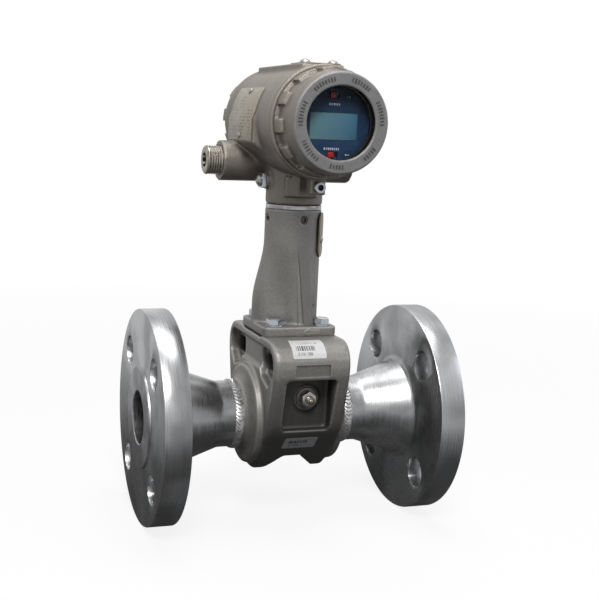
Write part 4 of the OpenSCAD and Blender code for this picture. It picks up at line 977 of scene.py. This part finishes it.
def neck_web(finish):
    """The cast web that runs down the neck's front, proud of its face and fading out at its top."""
    surface = surface_of("support_tube")
    foot, top, top_z, steps = (0.0034, 0.0112), (-0.0028, 0.0052), 0.125, 24
    rise, slope, sunk, lift = 0.0014, 0.0006, 0.002, 0.0002
    shell = bmesh.new()
    rows = []
    for i in range(steps + 1):
        up = i / steps
        z = PLATE_TOP + lift + up * (top_z - PLATE_TOP)
        left, right = (a + (b - a) * up for a, b in zip(foot, top))
        face = min(front_of(surface, left + (right - left) * k / 4, z) for k in range(5))
        proud = face - rise * min(1.0, (1 - up) * 5)
        half = [(0, face + sunk), (slope * 0.4, proud + slope * 0.5), (slope, proud)]
        section = [(left + x, y) for x, y in half] + [(right - x, y) for x, y in reversed(half)]
        rows.append([shell.verts.new((x, y, z)) for x, y in section])
    skin(shell, rows, joined=False)
    shell.faces.new(rows[-1])
    shell.faces.new(list(reversed(rows[0])))
    web = place_mesh("neck_web", ended(shell, bpy.data.meshes.new("neck_web")), finish)
    smooth(carry(web, "support_tube"), 40)


class FLOWMETER_OT_neck(bpy.types.Operator):
    """Raise the support tube, with its bolts, set screws, ring and tag"""

    bl_idname = "flowmeter.neck"
    bl_label = "Neck"

    def execute(self, context):
        metals, _, print_, _ = settings()
        blasted = blasted_steel("blasted neck steel", metals.neck, metals.casting_edge, metals.grain, 0.5)
        cast("support_tube", blasted, 0.0008, 3)
        arrow_outline(blasted)
        # Painted shade: the web is darker than the neck of the same casting so that it reads as shaded.
        shade = tuple(0.82 * c for c in metals.neck)
        neck_web(blasted_steel("shade-darkened web steel", shade, shade, metals.grain, 0.5))
        zinc = plated_steel("zinc bolt steel", metals.zinc, 0.14)
        eased("base_washers", zinc, 0.00015)
        foot_bolts(zinc)
        set_screws(plated_steel("blackened screw steel", linear("#56534f")))
        ring = turned_steel("turned ring steel", metals.turned, metals.groove, 0.3, axis=2)
        eased("neck_ring", ring, 0.0003)
        rows = [(2, 0.1195, 0.1405)]
        tag = etched_plate("etched neck tag", print_.tag, print_.plate_ink, 0, 0.0022, 0.0014, rows, 5.0)
        eased("neck_tag", tag)
        eased("neck_tag_pin", plated_steel("plated fastener steel", metals.bright))
        return {"FINISHED"}


def foot_bolts(finish):
    """The hexagon heads that stand on the foot's washers."""
    flats, tall, washer = 0.0111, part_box("base_bolts")[1].z - BOLT_SEAT, 0.0004
    head = place_mesh("bolt_head", hexagon_mesh("bolt_head", flats, tall, washer=washer), finish)
    heads = grow("base_bolt_heads", rows_tree(), finish, Fastener=head, Centre=(0, 0, BOLT_SEAT))
    stand_for(smooth(heads), "base_bolts")
    bpy.data.objects.remove(head)


def set_screws(finish):
    """The cup-ended set screws round the neck's top."""
    profile = [
        (0.0027, 0), (0.0029, -0.0003), (0.0029, -0.006), (0.0, -0.006), (0.0, -0.0028), (0.0014, -0.0022),
        (0.0016, -0.0002),
    ]
    cup = lathe("set_screw_cup", profile, 36, finish)
    reach, height = -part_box("housing_set_screws")[0].y, middle_of("housing_set_screws").z
    screws = grow("set_screw_row", ring_tree(), finish, Fastener=cup, Radius=reach, Height=height)
    stand_for(smooth(screws), "housing_set_screws")
    bpy.data.objects.remove(cup)


class FLOWMETER_OT_ground(bpy.types.Operator):
    """Fit the ground stud, its washers and its nut"""

    bl_idname = "flowmeter.ground"
    bl_label = "Ground stud"

    def execute(self, context):
        eased("ground_stud", threaded_steel("threaded stud steel", linear("#b0a49a"), 0.001, 1))
        eased("ground_stud_washers", plated_steel("dull washer steel", linear("#6c6a66"), 0.4), 0.00015)
        low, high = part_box("ground_stud_nut")
        middle = middle_of("ground_stud_nut")
        mesh = hexagon_mesh("ground_nut", high.z - low.z, high.y - low.y, hole=0.0031, both=True)
        place = Matrix.Translation((middle.x, high.y, middle.z))
        mesh.transform(place @ Matrix.Rotation(math.pi / 2, 4, "X"))
        nut = place_mesh("ground_nut", mesh, plated_steel("plated stud steel", linear("#b8b5af"), 0.18))
        stand_for(smooth(nut), "ground_stud_nut")
        return {"FINISHED"}


class FLOWMETER_OT_housing(bpy.types.Operator):
    """Cast the housing and fit its plate, plug, clamp and screws"""

    bl_idname = "flowmeter.housing"
    bl_label = "Housing"

    def execute(self, context):
        metals, _, print_, _ = settings()
        steel, edge = metals.housing, metals.housing_edge
        cast("housing", blasted_steel("blasted housing steel", steel, edge, metals.grain, 0.5), 0.00098, 2)
        rows = [(1, -0.0155, 0.0335), (2, HEAD_Z - 0.0125, HEAD_Z + 0.02)]
        plate, ink = print_.nameplate, print_.plate_ink
        eased("nameplate", etched_plate("etched nameplate", plate, ink, 1, 0.0023, 0.0012, rows, 2.0))
        plated = plated_steel("plated housing screw steel", metals.bright)
        for node in ("nameplate_pins", "ground_screw", "top_pad_screws"):
            eased(node, plated)
        eased("top_plate", plated_steel("rolled top plate steel", metals.housing_edge, 0.38))
        # The plug's and the lock screw's key sockets get painted shade.
        middle = middle_of("conduit_plug")
        plug = turned_steel("turned plug steel", metals.plug, 0.0004, 0.3, middle, socket=0.0052)
        eased("conduit_plug", plug, 0.00012)
        eased("ground_clamp", plated_steel("formed clamp steel", metals.zinc), 0.0003)
        lock = plated_steel("zinc screw steel", metals.zinc, 0.3, (middle_of("cover_lock_screw"), 1, 0.0021))
        eased("cover_lock_screw", lock, 0.0003)
        return {"FINISHED"}


class FLOWMETER_OT_covers(bpy.types.Operator):
    """Cast the display cover and the terminal cover, with glass and seals"""

    bl_idname = "flowmeter.covers"
    bl_label = "Covers"

    def execute(self, context):
        metals, _, _, _ = settings()
        steel, edge = metals.housing, metals.housing_edge
        cover = blasted_steel("blasted cover steel", steel, edge, metals.grain, 0.52, metals.ring, on_ring)
        for node in ("display_cover", "terminal_cover"):
            cast(node, cover, 0.0007, 3)
        # Painted shade: the raised bars are darkened to stand for the shadows at their sides.
        shade = tuple(0.4 * c for c in metals.ring)
        dark = blasted_steel("shadow-darkened bar steel", shade, shade, metals.grain, 0.5)
        carry(grow("cover_bars", marks_tree(), dark, Centre=(0, COVER_FRONT, HEAD_Z)), "display_cover")
        repaint("cover_glass", window_glass("window glass"))
        eased("glass_retainer", plated_steel("blackened ring steel", linear("#3c3c3e"), 0.4))
        rubber = moulded("black seal rubber", linear("#141415"), 0.6)
        for node in ("display_cover_seal", "terminal_cover_seal"):
            repaint(node, rubber)
        return {"FINISHED"}


# The faceplate's rows of bars: their number, the row's width, a bar's length and height, and the middle
FACEPLATE_ROWS = (
    (5, 0.0066, 0.0012, 0.0015, 0.0, 0.0121), (8, 0.0098, 0.001, 0.0015, -0.0008, -0.0168),
    (2, 0.0018, 0.0012, 0.001, 0.0105, -0.0205), (2, 0.0018, 0.001, 0.0008, 0.0095, 0.017),
)


class FLOWMETER_OT_display(bpy.types.Operator):
    """Fit the faceplate, the display, its bars and the sliders"""

    bl_idname = "flowmeter.display"
    bl_label = "Display"

    def execute(self, context):
        _, _, print_, _ = settings()
        eased("display_faceplate", film("printed faceplate film", print_.film), 0.0001)
        eased("lcd_panel", display_glass("liquid crystal display", print_.glass, print_.glass_right))
        red = moulded("red slider plastic", print_.slider, 0.32, Specular_IOR_Level=0.5)
        black = moulded("black switch plastic", print_.plastic, 0.42)
        for node, finish, edge in (
            ("alarm_slider", red, 0.0003), ("security_slider", red, 0.0003),
            ("alarm_switch", black, 0.0002), ("security_switch", black, 0.0002),
        ):
            eased(node, finish, edge)
        repaint("display_board", moulded("green board mask", linear("#14502e"), 0.35))
        brass = turned_steel("turned spacer brass", linear("#b9975a"), 0.0004, 0.3, axis=1)
        repaint("display_spacers", brass)
        ink = moulded("white faceplate ink", print_.film_bar, 0.5)
        tree = bars_tree()
        for i, (number, width, long_, tall, x, z) in enumerate(FACEPLATE_ROWS):
            piece = grow(
                f"faceplate_bars_{i + 1}", tree, ink, Number=number, Width=width, Bar_height=tall,
                Bar_length=long_, Centre=(x, FACEPLATE_Y, HEAD_Z + z), Seed=i + 2,
            )
            carry(piece, "display_faceplate")
        return {"FINISHED"}


class FLOWMETER_OT_inside(bpy.types.Operator):
    """Finish the sensor, its cable, the electronics and the terminals"""

    bl_idname = "flowmeter.inside"
    bl_label = "Inside"

    def execute(self, context):
        metals, _, print_, _ = settings()
        eased("terminal_block", moulded("black terminal plastic", print_.plastic), 0.0003)
        steel = plated_steel("plated terminal steel", metals.bright)
        for node in ("terminal_screws", "terminal_block_screws", "module_screws"):
            eased(node, steel, 0.00015)
        eased("electronics_module", moulded("grey module plastic", linear("#2a2c2e"), 0.5), 0.0004)
        sensor = turned_steel("turned sensor steel", metals.turned, 0.0004, 0.3, axis=2)
        eased("vortex_sensor", sensor)
        eased("sensor_nut", steel)
        repaint("sensor_cable", moulded("black cable jacket", linear("#161618"), 0.5))
        return {"FINISHED"}


def area_lamp(name, place, size, energy, tint):
    """A soft lamp aimed at the foot of the meter's neck."""
    aim = Vector((0, 0, 0.08))
    light = bpy.data.lights.new(name, "AREA")
    light.shape = "RECTANGLE"
    light.size, light.size_y = size
    light.energy = energy
    light.color = linear(tint)
    lamp = link(name, light)
    lamp.location = place
    lamp.rotation_euler = (aim - Vector(place)).to_track_quat("-Z", "Y").to_euler()


def seen_by_lens(tree, share):
    """One for a ray from the lens or through glass, a share for one off gloss, else nothing."""
    path = add(tree, "LightPath", get="all")
    gloss = chain(tree, "MULTIPLY", path["Is Glossy Ray"], share)
    return chain(tree, "MAXIMUM", path["Is Camera Ray"], path["Is Transmission Ray"], gloss)


def studio_floor(stage, half=6):
    """The pale floor under the meter, which polished metal shows more of the farther it is."""
    sheet = bpy.data.meshes.new("floor")
    corners = [(x * half, y * half, FLOOR_Z) for x, y in ((-1, -1), (1, -1), (1, 1), (-1, 1))]
    sheet.from_pydata(corners, [], [range(4)])
    finish, tree, place = new_finish("pale studio floor")
    tone = mottled(tree, add(tree, "TexNoise", place, 1 / 0.003, 2), stage.floor, 0.99, 1)
    away = add(tree, "VectorMath LENGTH", place)
    seen = seen_by_lens(tree, add(tree, "MapRange", away, 0.25, 0.9, stage.floor_gloss, 0.7))
    matt = add(tree, "BsdfDiffuse", add(tree, "Mix RGBA", seen, rgba(stage.bounce), tone))
    glow = add(tree, "Emission", (1, 1, 1, 1), 1.0)
    share = chain(tree, "MULTIPLY", seen, add(tree, "MapRange", away, 0.35, 1.2, 0.86, 1))
    add(tree, "OutputMaterial", add(tree, "MixShader", share, matt, glow))
    return place_mesh("floor", sheet, finish)


def studio_world(stage):
    """Even room light, and a white backdrop that polished metal shows only high up."""
    world = bpy.data.worlds.new("studio")
    world.use_nodes = True
    tree = world.node_tree
    tree.nodes.clear()
    room = add(tree, "Background", rgba(linear("#eef1f5")), stage.sky)
    white = add(tree, "Background", (1, 1, 1, 1), 1.0)
    x, y, z = add(tree, "SeparateXYZ", add(tree, "TexCoord", get="Generated"), get="all")
    up = chain(tree, "ADD", z, chain(tree, "MULTIPLY", y, 0.2), chain(tree, "MULTIPLY", x, -0.15))
    backdrop = add(tree, "MapRange", up, -0.45, 0.45)
    add(tree, "OutputWorld", add(tree, "MixShader", seen_by_lens(tree, backdrop), room, white))
    return world


class FLOWMETER_OT_stage(bpy.types.Operator):
    """Set the floor, the lamps, the room light and the camera"""

    bl_idname = "flowmeter.stage"
    bl_label = "Stage"

    def execute(self, context):
        _, _, _, stage = settings()
        scene = context.scene
        scene.view_settings.view_transform = "Standard"
        floor = studio_floor(stage)
        scene.world = studio_world(stage)
        area_lamp("key lamp", (-0.35, -1.05, 1.15), (0.45, 0.45), stage.key, "#fffdfa")
        area_lamp("top lamp", (0.1, 0.1, 1.4), (0.9, 0.6), stage.top, "#ffffff")
        area_lamp("side lamp", (1.1, -0.35, 0.5), (0.4, 0.7), stage.rim, "#eef3ff")
        set_camera(scene)
        return {"FINISHED"}


def set_camera(scene):
    """The lens and the place that the photograph was taken from."""
    image, focal, right_by, up_by, sensor = 600, 1084.66, 30.82, 8.65, 36
    place = Vector((-0.2679, -0.7391, 0.2103))
    turn, down, roll = (math.radians(a) for a in (-18.84, 9.66, 2.38))
    forward = Vector((-math.sin(turn) * math.cos(down), math.cos(turn) * math.cos(down), -math.sin(down)))
    level = Vector((math.cos(turn), math.sin(turn), 0))
    upward = level.cross(forward)
    right = level * math.cos(roll) + upward * math.sin(roll)
    top = upward * math.cos(roll) - level * math.sin(roll)
    lens = bpy.data.cameras.new("camera")
    lens.sensor_width = sensor
    lens.lens = focal * sensor / image
    lens.shift_x, lens.shift_y = right_by / image, up_by / image
    lens.clip_start, lens.clip_end = 0.05, 20
    camera = link("camera", lens)
    rows = Matrix((right, top, -forward)).transposed().to_4x4()
    camera.matrix_world = Matrix.Translation(place) @ rows
    scene.camera = camera


PIECES = (
    FLOWMETER_OT_flanges, FLOWMETER_OT_welds, FLOWMETER_OT_casting, FLOWMETER_OT_neck, FLOWMETER_OT_ground,
    FLOWMETER_OT_housing, FLOWMETER_OT_covers, FLOWMETER_OT_display, FLOWMETER_OT_inside, FLOWMETER_OT_stage,
)


class FLOWMETER_PT_pieces(bpy.types.Panel):
    """Lists the pieces and their sizes and colours"""

    bl_idname = "FLOWMETER_PT_pieces"
    bl_label = "Flow meter"
    bl_space_type = "VIEW_3D"
    bl_region_type = "UI"
    bl_category = "Flow Meter"

    def draw(self, context):
        for piece in PIECES:
            self.layout.operator(piece.bl_idname)
        for group in settings():
            box = self.layout.box()
            for key in group.bl_rna.properties.keys():
                if key not in ("rna_type", "name"):
                    box.prop(group, key)


GROUPS = (
    ("flow_meter_metals", FlowMeterMetals), ("flow_meter_pipe", FlowMeterPipe),
    ("flow_meter_print", FlowMeterPrint), ("flow_meter_stage", FlowMeterStage),
)


def register():
    """Registers the groups, the operators and the panel."""
    for name, group in GROUPS:
        bpy.utils.register_class(group)
        setattr(bpy.types.Scene, name, PointerProperty(type=group))
    for piece in PIECES:
        bpy.utils.register_class(piece)
    bpy.utils.register_class(FLOWMETER_PT_pieces)


def unregister():
    """Takes the panel, the operators and the groups away again."""
    bpy.utils.unregister_class(FLOWMETER_PT_pieces)
    for piece in reversed(PIECES):
        bpy.utils.unregister_class(piece)
    for name, group in reversed(GROUPS):
        delattr(bpy.types.Scene, name)
        bpy.utils.unregister_class(group)


def main():
    """Dresses the meter."""
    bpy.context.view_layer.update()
    register()
    for piece in PIECES:
        family, action = piece.bl_idname.split(".")
        getattr(getattr(bpy.ops, family), action)()


if __name__ == "__main__":
    main()
